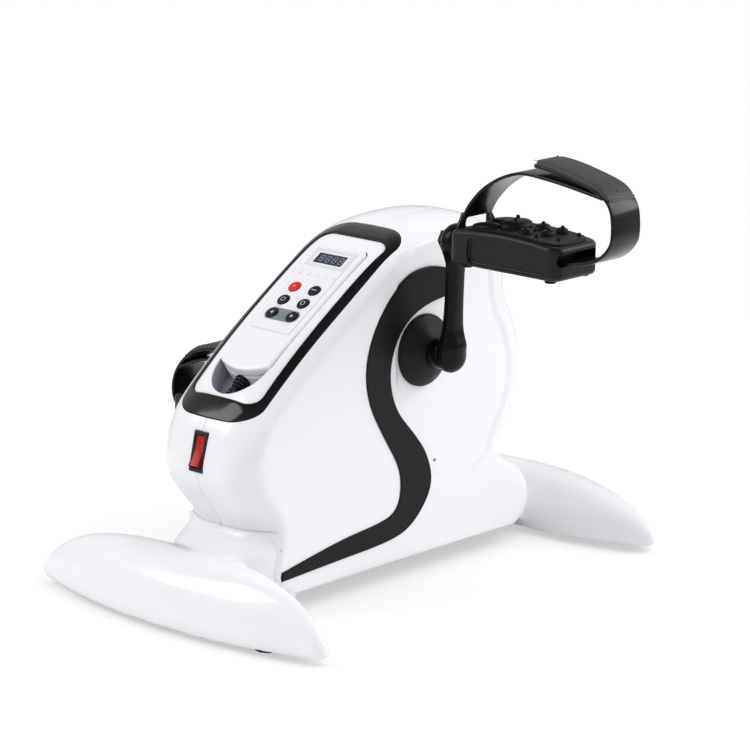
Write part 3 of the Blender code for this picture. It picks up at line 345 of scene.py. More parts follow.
def rounded_profile(points, radius, steps=4):
    """A closed turning profile with the corners off the axis rounded."""
    shaped = []
    for i, point in enumerate(points):
        here = Vector(point)
        if here.x < 1e-6:
            shaped.append(tuple(here))
            continue
        before = Vector(points[i - 1]) - here
        after = Vector(points[(i + 1) % len(points)]) - here
        reach = min(radius, before.length * 0.45, after.length * 0.45)
        start = here + before.normalized() * reach
        end = here + after.normalized() * reach
        for k in range(steps + 1):
            t = k / steps
            shaped.append(tuple(start * (1 - t) ** 2 + here * 2 * t * (1 - t) + end * t * t))
    return shaped


def placed(name, data):
    """A new object in the scene's collection."""
    obj = bpy.data.objects.new(name, data)
    bpy.context.scene.collection.objects.link(obj)
    return obj


def make_object(name, bm, sharp=38.0):
    """An object from a bmesh in the body's frame and millimetres."""
    bmesh.ops.scale(bm, vec=Vector((MM, MM, MM)), verts=bm.verts)
    bmesh.ops.translate(bm, vec=SHIFT, verts=bm.verts)
    mesh = bpy.data.meshes.new(name)
    bm.to_mesh(mesh)
    bm.free()
    mesh.shade_smooth()
    mesh.set_sharp_from_angle(angle=math.radians(sharp))
    return placed(name, mesh)


def freeze(obj):
    """Put an object's evaluated mesh in place of its own and drop its modifiers."""
    bpy.context.view_layer.update()
    graph = bpy.context.evaluated_depsgraph_get()
    mesh = bpy.data.meshes.new_from_object(obj.evaluated_get(graph))
    mesh.name = obj.name
    obj.modifiers.clear()
    obj.data = mesh
    return obj


def bake(obj, sharp=38.0):
    """Freeze an object and shade it smooth up to an angle in degrees."""
    freeze(obj)
    obj.data.shade_smooth()
    obj.data.set_sharp_from_angle(angle=math.radians(sharp))
    return obj


def even_normals(obj):
    """Let flat faces keep their flat look beside rounded edges."""
    obj.modifiers.new("normals", "WEIGHTED_NORMAL").keep_sharp = True
    return freeze(obj)


def cut(obj, cutters, operation="DIFFERENCE"):
    """Apply Boolean cuts, or unions, and remove the cutters."""
    for cutter in cutters:
        mod = obj.modifiers.new("cut", "BOOLEAN")
        mod.operation = operation
        mod.object = cutter
        mod.solver = "EXACT"
    bake(obj)
    for cutter in cutters:
        bpy.data.objects.remove(cutter, do_unlink=True)
    return obj


def fused(name, forms, voxel, passes):
    """One smooth skin over several closed forms that run into each other."""
    bm = bmesh.new()
    for form in forms:
        bm.from_mesh(form.data)
    mesh = bpy.data.meshes.new(name)
    bm.to_mesh(mesh)
    bm.free()
    for form in forms:
        bpy.data.objects.remove(form, do_unlink=True)
    obj = placed(name, mesh)
    remesh = obj.modifiers.new("skin", "REMESH")
    remesh.mode = "VOXEL"
    remesh.voxel_size = voxel * MM
    smooth = obj.modifiers.new("smooth", "SMOOTH")
    smooth.factor = 0.5
    smooth.iterations = passes
    return bake(obj, 60.0)


def dress(obj, finish, body, slot=None, replaces=()):
    """Give a piece its finish and hang it on its body."""
    obj.data.materials.clear()
    obj.data.materials.append(FINISHES[finish])
    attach(obj, body)
    if replaces:
        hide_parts(*replaces)
    return obj


def box_cutter(name, low, high, place=None):
    """A box between two corners, which place may turn into the body's frame."""
    bm = bmesh.new()
    bmesh.ops.create_cube(bm, size=1.0)
    bmesh.ops.scale(bm, vec=Vector(high) - Vector(low), verts=bm.verts)
    bmesh.ops.translate(bm, vec=(Vector(high) + Vector(low)) / 2, verts=bm.verts)
    if place:
        for vert in bm.verts:
            vert.co = place(*vert.co)
    bmesh.ops.recalc_face_normals(bm, faces=bm.faces)
    return make_object(name, bm)


# Finishes


def add_node(tree, kind, **values):
    """A new node with its inputs set, a space in their names written as _."""
    node = tree.nodes.new(kind)
    for name, value in values.items():
        node.inputs[name.replace("_", " ")].default_value = value
    return node


def wire(tree, node, output, other, entry=None):
    """Link a node's output to another node's input, which has the same name if none is given."""
    tree.links.new(node.outputs[output], other.inputs[output if entry is None else entry])


def new_material(name, colour, rough, metal=0.0, coat=0.0, specular=0.5):
    """A principled material with its uniform values on the shader's own sockets."""
    mat = bpy.data.materials.new(name)
    mat.use_nodes = True
    shader = mat.node_tree.nodes["Principled BSDF"]
    for label, value in (("Base Color", (*colour, 1.0)), ("Roughness", rough),
                         ("Metallic", metal), ("Coat Weight", coat), ("Coat Roughness", 0.05),
                         ("Specular IOR Level", specular)):
        shader.inputs[label].default_value = value
    return mat, mat.node_tree, shader


def grain(tree, shader, scale, rough_low, rough_high, bump=0.0, distance=0.0001, detail=3.0):
    """Vary a surface's gloss, and its height if asked, with noise in object space."""
    place = add_node(tree, "ShaderNodeTexCoord")
    noise = add_node(tree, "ShaderNodeTexNoise", Scale=scale, Detail=detail)
    spread = add_node(tree, "ShaderNodeMapRange", From_Min=0.35, From_Max=0.65,
                      To_Min=rough_low, To_Max=rough_high)
    wire(tree, place, "Object", noise, "Vector")
    wire(tree, noise, "Fac", spread, "Value")
    wire(tree, spread, "Result", shader, "Roughness")
    if bump:
        relief = add_node(tree, "ShaderNodeBump", Strength=bump, Distance=distance)
        wire(tree, noise, "Fac", relief, "Height")
        wire(tree, relief, "Normal", shader)
    return noise


def tint(tree, shader, noise, low, high):
    """Shift the base colour between two close tones with a noise that exists."""
    ramp = add_node(tree, "ShaderNodeValToRGB")
    for item, spot, colour in zip(ramp.color_ramp.elements, (0.35, 0.65), (low, high)):
        item.position = spot
        item.color = (*colour, 1.0)
    wire(tree, noise, "Fac", ramp)
    wire(tree, ramp, "Color", shader, "Base Color")


def scaled(colour, share):
    """A colour made darker or lighter by a factor."""
    return tuple(channel * share for channel in colour)


def varied(name, colour, scale, rough, share, bump=0.0, distance=0.0001, detail=3.0, most=1.0,
           **uniform):
    """A finish whose gloss runs between the two of rough, and its tone from share to most."""
    mat, tree, shader = new_material(name, colour, rough[0], **uniform)
    noise = grain(tree, shader, scale, *rough, bump, distance, detail)
    tint(tree, shader, noise, scaled(colour, share), scaled(colour, most))
    return mat


def shell_white():
    """Moulded white ABS with a high gloss."""
    white = bpy.context.scene.trainer_finish.white
    return varied("shell_white", white, 22.0, (0.15, 0.23), 0.985, coat=0.25)


def handset_white():
    """Softer white of the handset."""
    white = bpy.context.scene.trainer_finish.white
    return varied("handset_white", white, 900.0, (0.26, 0.36), 0.98, 0.05, coat=0.2)


def piano_black():
    """Glossy black of the ring."""
    black = bpy.context.scene.trainer_finish.black
    return varied("piano_black", black, 30.0, (0.1, 0.17), 0.8, coat=0.15, specular=0.3)


def stripe_black(name="stripe_black", specular=0.14, rough=(0.3, 0.4)):
    """Duller black of the stripe and the hub cover."""
    black = bpy.context.scene.trainer_finish.black
    return varied(name, black, 400.0, rough, 0.8, 0.08, 0.00004, specular=specular)


def satin_black(name="satin_black", level=0.009, rough=(0.36, 0.46)):
    """Fine moulded texture of the pedals and other dark plastic."""
    return varied(name, (level, level, level * 1.06), 1400.0, rough, 0.7, 0.25, 0.00004,
                  specular=0.3)


def crank_enamel():
    """Black stoving enamel on the crank arms."""
    return varied("crank_enamel", (0.005, 0.005, 0.0052), 260.0, (0.2, 0.32), 0.7, 0.2, 0.0002,
                  coat=0.12, specular=0.08)


def pad_rubber():
    """Dull rubber of the pads and studs, with a pebbled skin."""
    return varied("pad_rubber", (0.008, 0.008, 0.0082), 1800.0, (0.4, 0.52), 0.6, 0.35, 0.00006,
                  specular=0.15)


def strap_pvc():
    """Soft shiny PVC of the straps."""
    return varied("strap_pvc", (0.008, 0.008, 0.0082), 1600.0, (0.17, 0.26), 0.6, 0.15, 0.00004,
                  specular=0.3)


def cord_rubber():
    """Smooth PVC of the cord, shinier than the straps."""
    return varied("cord_rubber", (0.01, 0.01, 0.011), 500.0, (0.2, 0.32), 0.7)


def strap_weave():
    """Ribbed, textured end of a strap."""
    return varied("strap_weave", (0.042, 0.042, 0.044), 3500.0, (0.45, 0.65), 0.4, 0.6, 0.0002,
                  6.0, 1.5)


def signal_red():
    """Bright red of the stop button."""
    red = bpy.context.scene.trainer_finish.red
    return varied("signal_red", red, 300.0, (0.18, 0.28), 0.9, coat=0.2, specular=0.35)


def rocker_red():
    """Deeper red of the mains rocker."""
    red = bpy.context.scene.trainer_finish.rocker
    return varied("rocker_red", red, 300.0, (0.26, 0.36), 0.9, specular=0.25)


def scoop_painted_shade():
    """White plastic deep in the scoop and the cradle, made a darker lavender grey as painted shade."""
    return varied("scoop_painted_shade", (0.36, 0.35, 0.42), 300.0, (0.3, 0.42), 0.95, specular=0.3)


def plated_steel():
    """Zinc-plated steel of spindles, screws and pins."""
    return varied("plated_steel", (0.5, 0.5, 0.51), 700.0, (0.2, 0.34), 0.85, 0.1, 0.00005,
                  metal=1.0)


def frame_paint():
    """Grey powder coat of the hidden frame and the base plate."""
    return varied("frame_powder", (0.06, 0.062, 0.065), 1200.0, (0.42, 0.6), 0.8, 0.4)


def display_glass():
    """Dark blue-grey window over the digits."""
    return varied("display_glass", (0.022, 0.026, 0.05), 60.0, (0.1, 0.16), 0.8, coat=0.4)


def print_ink(name, colour):
    """Screen print on plastic."""
    return varied(name, colour, 2500.0, (0.35, 0.5), 0.9)


def label_film():
    """Clear film over the handset's keypad, a shade cooler than the case."""
    colour = scaled(bpy.context.scene.trainer_finish.white, 0.975)
    return varied("label_film", colour, 500.0, (0.17, 0.24), 0.985, coat=0.3)


def circuit_green():
    """Solder mask of the boards."""
    return varied("circuit_green", (0.01, 0.09, 0.035), 500.0, (0.3, 0.42), 0.7)


def make_finishes():
    """Make every finish."""
    FINISHES.update({
        "white": shell_white(), "handset": handset_white(), "gloss": piano_black(),
        "satin": satin_black(), "socket": satin_black("socket_black", 0.02, (0.4, 0.5)),
        "crank": crank_enamel(), "rubber": pad_rubber(), "red": signal_red(),
        "stripe": stripe_black(), "disc": stripe_black("disc_black", 0.18, (0.42, 0.52)),
        # scoop is painted shade for the walls and floor of the cradle and the finger scoop
        "strap": strap_pvc(), "rocker": rocker_red(), "scoop": scoop_painted_shade(),
        "steel": plated_steel(), "frame": frame_paint(), "glass": display_glass(),
        "digits": print_ink("digit_print", (0.3, 0.33, 0.42)),
        "marks": print_ink("grey_print", (0.2, 0.21, 0.24)),
        "faint": print_ink("faint_print", (0.55, 0.56, 0.6)),
        "pale": print_ink("pale_print", (0.68, 0.685, 0.72)),
        "bar": print_ink("bar_print", (0.19, 0.235, 0.235)),
        "film": label_film(), "board": circuit_green(), "cord": cord_rubber(),
        "weave": strap_weave(),
    })


SLOT_FINISH = {
    "white_gloss": "white", "white_satin": "handset", "black_gloss": "gloss",
    "black_satin": "satin", "crank_black": "crank", "black_rubber": "rubber",
    "red_gloss": "red", "steel": "steel", "frame_paint": "frame", "board_green": "board",
    "window_dark": "glass", "label_grey": "film",
}


def finish_frame():
    """Give the CAD nodes that stay in view their finishes."""
    for entry in frame["record"]["subparts"]:
        obj = frame["nodes"].get(entry["node"])
        finish = SLOT_FINISH.get(entry.get("material_slot"))
        if obj is None or finish is None:
            continue
        for slot in obj.material_slots:
            slot.material = FINISHES[finish]


# Body


def moved_line(line, inset):
    """The side view's line moved inwards by inset, with its two floor ends moved down."""
    last = len(line) - 1
    moved = []
    for i, (x, z) in enumerate(line):
        if i in (0, last):
            moved.append(Vector((x + (inset if i == 0 else -inset), FLOOR_Z - abs(inset))))
            continue
        along = Vector(line[i + 1]) - Vector(line[i - 1])
        normal = Vector((-along.y, along.x)).normalized()
        moved.append(Vector((x, z)) - normal * inset)
    return moved


def rib_curve(edge, middle, half, flat, power, exponent, steps):
    """One rib from the middle plane out to the side panel, as (x, y, z)."""
    curve = []
    for k in range(steps + 1):
        out = math.sin(math.radians(90) * k / steps) ** (2 / max(power, 2.0)) if k else 0.0
        rise = max(1.0 - out ** power, 0.0) ** exponent if k < steps else 0.0
        spot = edge + (middle - edge) * rise
        curve.append(Vector((spot.x, half * (flat + (1.0 - flat) * out) if k else 0.0, spot.y)))
    return curve


def spread_evenly(points, count):
    """Points at even distances along a polyline."""
    lengths = [0.0]
    for a, b in zip(points, points[1:]):
        lengths.append(lengths[-1] + (b - a).length)
    spread = []
    index = 0
    for k in range(count + 1):
        want = lengths[-1] * k / count
        while index < len(points) - 2 and lengths[index + 1] < want:
            index += 1
        gap = lengths[index + 1] - lengths[index]
        share = (want - lengths[index]) / gap if gap > 1e-9 else 0.0
        spread.append(points[index].lerp(points[index + 1], min(share, 1.0)))
    return spread


def rounded_rib(curve, centre, half, count, passes):
    """A rib carried on over the panel's edge, with that edge rounded off."""
    inward = Vector((centre.x - curve[-1].x, 0.0, centre.y - curve[-1].z)).normalized()
    tail = [Vector((curve[-1].x, half, curve[-1].z)) + inward * reach for reach in (3.0, 6.0, 9.0)]
    even = spread_evenly(curve + tail, count)
    return [Vector(p) for p in relaxed([tuple(p) for p in even], passes)]


# The hub side's recess, from its upper front corner round the back to its lower front corner
RECESS = [(-36.0, 215.0), (-36.0, 233.0), (-35.0, 250.0), (-28.0, 256.5), (-10.0, 260.0),
          (13.0, 260.6), (40.0, 258.0), (60.0, 250.0), (72.0, 238.0), (76.5, 221.0),
          (80.5, 200.0), (95.0, 175.0), (102.0, 149.0), (98.0, 124.0), (86.5, 103.0),
          (79.0, 90.0), (76.0, 82.0), (69.0, 77.0), (49.0, 66.0), (37.0, 63.0), (8.0, 72.0),
          (-4.0, 98.0), (-30.0, 137.0), (-36.0, 180.0)]


def distance_inside(point, loop):
    """Distance from a 2-D point to a closed loop, negative outside it."""
    inside = False
    nearest = 1e9
    for a, b in zip(loop, loop[1:] + loop[:1]):
        if (a[1] > point[1]) != (b[1] > point[1]):
            crossing = a[0] + (point[1] - a[1]) * (b[0] - a[0]) / (b[1] - a[1])
            if point[0] < crossing:
                inside = not inside
        run = Vector((b[0] - a[0], b[1] - a[1]))
        offset = Vector((point[0] - a[0], point[1] - a[1]))
        share = min(max(offset.dot(run) / max(run.length_squared, 1e-9), 0.0), 1.0)
        nearest = min(nearest, (offset - run * share).length)
    return nearest if inside else -nearest


def recess_depth(point, loop, depth):
    """How far the side panel lies back at a point."""
    share = min(max((distance_inside(point, loop) + 0.5) / 4.5, 0.0), 1.0)
    return depth * share * share * (3.0 - 2.0 * share)


# Points from a rib's crown over its rounded edge, steps from that edge to the panel's middle,
# and the first point that the recess can move
RIB_POINTS, PANEL_STEPS, RECESS_FROM = 30, 26, 24


def panel_points(edge, centre):
    """Points over the side panel, from close to its edge to near its middle."""
    inward = (centre - edge).normalized()
    points = [edge + inward * reach for reach in (3.0, 4.4, 5.8, 7.2, 8.6, 10.0, 12.5)]
    rest = centre - points[-1]
    return points + [points[-1] + rest * (k / PANEL_STEPS) for k in range(1, PANEL_STEPS - 1)]


def groove(row, seam):
    """A row that starts at the bottom of the seam's groove."""
    start = row[0]
    across = (row[1] - start).normalized()
    inward = Vector((BODY_CENTRE.x - start.x, 0.0, BODY_CENTRE.y - start.z)).normalized()
    return [start + inward * 1.4 + across * 0.15, start + inward * 0.35 + across * seam * 0.7,
            start + inward * 0.08 + across * seam, start + across * (seam + 0.35)] + row[1:]


def body_rows(settings, side, inset=0.0, seam=0.0, steps=None):
    """Rows of points over one half of the body, from the seam to the middle of its panel."""
    ribs = relaxed(smooth_path(BODY_RIBS, steps or settings.rib_steps), 0 if inset > 0 else 10)
    edges = moved_line([rib[:2] for rib in ribs], inset)
    middles = moved_line([rib[2:4] for rib in ribs], inset)
    if not inset:
        floor = [Vector((x, FLOOR_Z)) for x in range(108, -146, -5)]
        ribs += [ribs[-1]] * len(floor)
        edges += floor
        middles += floor
    loop = [tuple(p) for p in smooth_path(RECESS + [RECESS[0]], 3)[:-1]]
    half = HALF_WIDTH - inset
    centre = Vector((BODY_CENTRE.x, half, BODY_CENTRE.y))
    rows = []
    for rib, edge, middle in zip(ribs, edges, middles):
        curve = rib_curve(edge, middle, rib[4] - inset, *rib[5:], settings.cross_steps)
        row = rounded_rib(curve, BODY_CENTRE, half, RIB_POINTS, 5)
        row[-1].y = half
        row += panel_points(row[-1], centre)
        if not inset:
            for point in row[RECESS_FROM:]:
                point.y -= recess_depth((point.x, point.z), loop, settings.recess)
        if seam:
            row = groove(row, seam)
        for point in row:
            point.z = max(point.z, FLOOR_Z - abs(inset))
        rows.append([Vector((p.x, side * p.y, p.z)) for p in row])
    return rows


def add_half(bm, rows):
    """Skin and side panel of one half of the body. Gives back its rows of vertices."""
    rows = [[bm.verts.new(point) for point in row] for row in rows]
    for row, following in zip(rows, rows[1:] + rows[:1]):
        for a, b, c, d in zip(row, following, following[1:], row[1:]):
            bm.faces.new((a, b, c, d))
    bm.faces.new([row[-1] for row in rows])
    return rows


def body_half(name, settings, side):
    """One closed half of the body, with its share of the seam's groove."""
    bm = bmesh.new()
    rows = add_half(bm, body_rows(settings, side, seam=settings.seam))
    bm.faces.new([row[0] for row in rows])
    bmesh.ops.remove_doubles(bm, verts=bm.verts, dist=1e-4)
    bmesh.ops.dissolve_degenerate(bm, edges=bm.edges, dist=1e-4)
    bmesh.ops.recalc_face_normals(bm, faces=bm.faces)
    return make_object(name, bm)


def core_form(settings, inset, steps=2):
    """The body's form moved inwards by inset, both sides at once."""
    bm = bmesh.new()
    for side in SIDES.values():
        add_half(bm, body_rows(settings, side, inset, steps=steps))
    return make_object("core_form", merged(bm, 1e-3))


SKIN = {}


def skin_tree(settings):
    """The body's outer skin as a search tree, for pieces that lie on it."""
    verts, faces = [], []
    for side in SIDES.values():
        rows = body_rows(settings, side, steps=4)
        base = len(verts)
        width = len(rows[0])
        for row in rows:
            verts += row
        for i in range(len(rows) - 1):
            for k in range(width - 1):
                a = base + i * width + k
                faces.append((a, a + width, a + width + 1, a + 1))
    return BVHTree.FromPolygons(verts, faces)


def skin_height(along, across):
    """Height of the body's skin over the console plane."""
    start = console_point(along, across, 40.0)
    down = console_point(along, across, 39.0) - start
    hit = SKIN["tree"].ray_cast(start, down)[0]
    if hit is None:
        raise ValueError("no body skin under console point %.1f, %.1f" % (along, across))
    return 40.0 - (hit - start).length


def ring_outline(settings, grow=0.0):
    """The ring's outer outline on the console plane."""
    return rounded_rect(settings.ring_from - grow, settings.ring_to + grow,
                        settings.ring_half + grow, 22.0, 1.5, 3.0)


def tray_outline(settings, grow=0.0):
    """The tray's outline, which is the ring's inner one."""
    return rounded_rect(settings.tray_from - grow, settings.tray_to + grow,
                        settings.tray_half + grow, 12.0)


def console_block(name, outline, low, high):
    """A straight block over an outline on the console plane."""
    return make_object(name, loft([[console_point(a, b, low) for a, b in outline],
                                   [console_point(a, b, high) for a, b in outline]]))


def tilted(centre_x, centre_z, degrees):
    """Puts (x, y, z) of a frame that leans about Y in the body's frame."""
    tilt = math.radians(degrees)

    def place(x, y, z):
        return Vector((centre_x + x * math.cos(tilt) + z * math.sin(tilt), y,
                       centre_z - x * math.sin(tilt) + z * math.cos(tilt)))
    return place


switch_point = tilted(-195.6, 126.2, 12.5)
inlet_point = tilted(118.5, 121.0, 22.0)


def shell_cutters(settings, console):
    """Everything that is cut from a body half."""
    return [
        box_cutter("beam_cut", (-190.0, -19.0, 10.0), (160.0, 19.0, 30.6)),
        rod("axle_cut", (HUB_X, 0.0, HUB_Z), 12.0, -60.0, 60.0, 40),
        core_form(settings, settings.wall + 0.8),
        console_block("console_cut", ring_outline(console, 0.3), -30.0, 30.0),
        box_cutter("switch_cut", (-6.0, -6.2, -14.3), (24.0, 6.2, 14.3), switch_point),
        box_cutter("switch_seat_cut", (-12.0, -6.9, -15.3), (1.0, 6.9, 15.3), switch_point),
        box_cutter("inlet_cut", (-12.0, -14.4, -9.4), (30.0, 14.4, 9.4), inlet_point),
        box_cutter("inlet_seat_cut", (0.8, -19.3, -12.3), (30.0, 19.3, 12.3), inlet_point),
    ]


def make_shells():
    """The two moulded halves with their recess, seam and openings."""
    settings = bpy.context.scene.trainer_body
    console = bpy.context.scene.trainer_console
    SKIN["tree"] = skin_tree(settings)
    for side, sign in SIDES.items():
        half = body_half("shell_%s_skin" % side, settings, sign)
        cut(half, shell_cutters(settings, console))
        dress(half, "white", "body", "white_gloss", ("shell_" + side,))


def stripe_outline():
    """The S-shaped stripe on the side panel, anticlockwise."""
    front = [(22.0, 238.0), (2.0, 242.0), (-21.0, 239.0), (-43.0, 224.0), (-61.0, 200.0),
             (-69.0, 173.0), (-64.0, 145.0), (-46.0, 115.0), (-31.0, 92.0), (-27.5, 73.0),
             (-33.0, 58.0), (-50.0, 51.5), (-95.0, 47.0), (-158.0, 36.0)]
    rear = [(20.0, 216.0), (0.0, 213.0), (-20.0, 205.0), (-36.0, 188.0), (-42.0, 163.0),
            (-34.0, 137.0), (-16.0, 117.0), (0.0, 98.0), (8.0, 75.0), (0.0, 56.0),
            (-20.0, 39.5), (-50.0, 34.0), (-95.0, 32.0), (-159.5, 29.0)]
    return relaxed(smooth_path(front, 8), 6) + relaxed(smooth_path(rear, 8), 6)[::-1]


def make_side_trim():
    """Stripe and hub cover of each side."""
    outline = stripe_outline()
    profile = rounded_profile([(8.2, 46.0), (28.0, 46.0), (28.0, 50.1), (20.0, 56.3),
                               (12.0, 60.3), (8.2, 61.2)], 1.6, 5)
    for side, sign in SIDES.items():
        stripe = slab(outline, 45.8, 49.1, 0.6,
                      lambda x, z, y, sign=sign: Vector((x, sign * y, z)), 3, 0.8)
        piece = make_object("stripe_skin_" + side, stripe)
        dress(even_normals(piece), "stripe", "body", "black_gloss", ("stripe_" + side,))
        cover = turned(outward(profile, sign), (HUB_X, 0.0, HUB_Z), steps=96)
        piece = make_object("hub_disc_" + side, cover)
        dress(piece, "disc", "body", "black_satin", ("hub_cover_" + side,))


# Console


# Depth of the tray's underside, then the keys' rows along the console and their distance from
# its middle
TRAY_BOTTOM = 22.4
BUTTON_ROWS = (29.0, 14.5, 0.0)
BUTTON_SIDE = 10.0


def strip_loops(settings, stations):
    """Loops between the tray's outline and the ring's, from (share, height over the skin)."""
    inner = tray_outline(settings)
    outer = ring_outline(settings)
    loops = []
    for share, rise in stations:
        loop = []
        for a, b in zip(inner, outer):
            along, across = blend_points(a, b, share)
            loop.append(console_point(along, across, skin_height(along, across) + rise))
        loops.append(loop)
    return loops


def make_ring(settings):
    """The glossy ring, which follows the body's arch with rolled lips."""
    stations = [(0.0, -2.6), (0.0, -0.4), (0.008, 0.0), (0.03, 0.28), (0.07, 0.42),
                (0.2, 0.5), (0.35, 0.56), (0.5, 0.58), (0.65, 0.56), (0.8, 0.5),
                (0.93, 0.4), (0.97, 0.26), (0.992, 0.0), (1.0, -0.4), (1.0, -2.6)]
    loops = strip_loops(settings, stations)
    ring = make_object("console_ring_skin", merged(loft(loops + [loops[0]], caps=False)), 50.0)
    dress(ring, "gloss", "body", "black_gloss", ("console_ring",))


def side_points(a, b, count=14):
    """Points between two corners, without the corners."""
    return [blend_points(a, b, k / count) for k in range(1, count)]


def upper_corners(half, top, radius=8.0, steps=8):
    """The two rounded upper corners of an outline on the console plane."""
    corners = []
    for start, sign in ((-90, -1), (0, 1)):
        for k in range(steps + 1):
            angle = math.radians(start + 90 * k / steps)
            corners.append((top - radius + radius * math.cos(angle),
                            sign * (half - radius) + radius * math.sin(angle)))
    return corners


# The handset's half width and upper end, where its bowed lower end starts, and that bow's depth
HANDSET_HALF, HANDSET_TOP, HANDSET_END, HANDSET_BOW = 25.0, 80.0, -49.5, 8.3


def handset_outline(arc=20):
    """The handset's outline, anticlockwise from its upper right corner."""
    half = HANDSET_HALF
    upper = upper_corners(half, HANDSET_TOP)
    bottom = [(HANDSET_END - HANDSET_BOW * (1 - (y / half) ** 2), y)
              for y in (half - 2 * half * k / arc for k in range(arc + 1))]
    return upper + side_points(upper[-1], bottom[0]) + bottom + side_points(bottom[-1], upper[0])


def pocket_outline(grow=0.0):
    """The handset's cradle with the finger scoop below it, as one outline."""
    half = HANDSET_HALF + 0.5 + grow
    upper = upper_corners(half, HANDSET_TOP + 0.5 + grow)
    reach, wide = 29.5 + grow, 24.3 + grow
    scoop = [(-50.0 - reach * math.sin(math.radians(a)), wide * math.cos(math.radians(a)))
             for a in range(6, 175, 4)]
    shoulder = [(-44.0, half), (-47.5, half - 0.2), (-50.0, half - 0.7)]
    other = [(s, -y) for s, y in reversed(shoulder)]
    return upper + side_points(upper[-1], shoulder[0]) + shoulder + scoop + other \
        + side_points(other[-1], upper[0])


def make_tray(settings):
    """The white tray: a crowned top that follows the arch, with cradle and scoop."""
    outline = tray_outline(settings, -0.3)
    insets = [(0.0, -8.5), (0.0, -1.3), (0.25, -0.95), (0.8, -0.8), (3.0, -0.8), (8.0, -0.8)]
    loops = []
    for inset, rise in insets:
        loops.append([console_point(s, y, skin_height(s, y) + rise)
                      for s, y in inset_loop(outline, inset)])
    middle = (settings.tray_from + settings.tray_to) / 2
    shrunk = inset_loop(outline, 8.0)
    for share in (0.25, 0.5, 0.75, 0.95):
        loops.append([console_point(s, y, skin_height(s, y) - 0.8)
                      for s, y in (blend_points(p, (middle + (p[0] - middle) * 0.4, 0.0), share)
                                   for p in shrunk)])
    bottom = [console_point(s, y, -TRAY_BOTTOM) for s, y in inset_loop(outline, 3.0)]
    tray = make_object("console_tray_skin", loft([bottom] + loops))
    pocket = []
    for grow, rise in ((0.0, None), (0.0, -2.0), (0.1, -1.35), (0.45, -0.95), (1.2, -0.76),
                       (1.6, 4.0)):
        level = pocket_outline(grow)
        pocket.append([console_point(s, y, -settings.pocket if rise is None
                                     else skin_height(s, y) + rise) for s, y in level])
    hole = rounded_rect(-96.0, -75.0, 5.4, 2.0, side=6, end=3)
    cut(tray, [make_object("pocket_cut", loft(pocket)),
               console_block("cord_cut", hole, -18.7, -7.9)])
    dress(tray, "white", "body", "white_gloss", ("console_tray",))
    # Painted shade inside the cradle and the scoop
    shade_pocket(tray)


def shade_pocket(tray):
    """Paint shade on the walls and floor of the cradle and the scoop: faces more than 2.2 mm under the skin get
    the darker grey material.
    """
    tray.data.materials.append(FINISHES["scoop"])
    for face in tray.data.polygons:
        spot = (face.center - SHIFT) / MM - console_point(0.0, 0.0, 0.0)
        along = spot.x * math.cos(CONSOLE_SLOPE) + spot.z * math.sin(CONSOLE_SLOPE)
        height = spot.z * math.cos(CONSOLE_SLOPE) - spot.x * math.sin(CONSOLE_SLOPE)
        inside = -81.0 < along < 81.5 and abs(spot.y) < 26.5
        if inside and height < skin_height(along, spot.y) - 2.2:
            # Painted shade: a deep face takes the darker grey material
            face.material_index = 1


def circle(row, across, radius, steps=40):
    """A round outline about a point of the console plane."""
    return [(row + radius * math.cos(a), across + radius * math.sin(a)) for a in angles(steps)]


def film(name, outline, low, high, finish, slot, replaces=(), radius=0.05, holes=()):
    """A thin print, film or pane on the handset."""
    piece = make_object(name, slab(outline, low, high, radius, console_point, 2, 0.1))
    if holes:
        cut(piece, [console_block(name + "_hole_%d" % i, hole, low - 1.0, high + 1.0)
                    for i, hole in enumerate(holes)])
    return dress(piece, finish, "handset", slot, replaces)


def window_outline(grow, radius=0.8):
    """The display window's outline, grown by a gap."""
    return rounded_rect(57.0 - grow, 67.4 + grow, 14.0 + grow, radius)


def key_circles(radius):
    """Round outlines at the six keys."""
    return [circle(row, sign * BUTTON_SIDE, radius)
            for row in BUTTON_ROWS for sign in SIDES.values()]


def make_handset(settings):
    """Handset cases, keypad film, display and prints."""
    case = handset_outline()
    front = make_object("handset_front_skin", slab(case, -8.0, 0.0, 1.8, console_point, 6, 3.0))
    cutters = [console_block("window_cut", window_outline(0.4), -5.0, 5.0)]
    cutters += [console_block("button_cut", hole, -6.9, 5.0)
                for hole in key_circles(settings.button + 0.4)]
    cut(front, cutters)
    dress(even_normals(front), "handset", "handset", "white_satin", ("handset_front",))
    back = make_object("handset_back_skin", slab(case, -19.7, -8.3, 1.6, console_point, 4, 3.0))
    dress(even_normals(back), "handset", "handset", "white_satin", ("handset_back",))
    holes = key_circles(settings.button + 0.5) + [window_outline(0.2)]
    film("keypad_film", rounded_rect(-17.0, 73.6, 20.2, 1.2), 0.1, 0.5, "film",
         "label_grey", ("keypad_label",), 0.15, holes)
    film("window_pane", window_outline(0.0, 0.5), -2.0, 0.4, "glass",
         "window_dark", ("display_window",), 0.2)
    make_prints()
    make_buttons(settings)


def line_frame(s_from, s_to, half, width):
    """Four thin bars round a rectangle, as outlines."""
    return [(s_from, s_from + width, -half, half), (s_to - width, s_to, -half, half),
            (s_from, s_to, -half, width - half), (s_from, s_to, half - width, half)]


def print_bars(name, bars, height, finish, body="handset", thickness=0.06):
    """Flat printed bars, given as (s from, s to, y from, y to), in one piece."""
    bm = bmesh.new()
    for s_from, s_to, y_from, y_to in bars:
        corners = [(s_to, y_from), (s_to, y_to), (s_from, y_to), (s_from, y_from)]
        low = [bm.verts.new(console_point(s, y, height)) for s, y in corners]
        high = [bm.verts.new(console_point(s, y, height + thickness)) for s, y in corners]
        for k in range(4):
            n = (k + 1) % 4
            bm.faces.new((low[k], low[n], high[n], high[k]))
        bm.faces.new(low[::-1])
        bm.faces.new(high)
    bmesh.ops.recalc_face_normals(bm, faces=bm.faces)
    return dress(make_object(name, bm), finish, body, "label_grey")


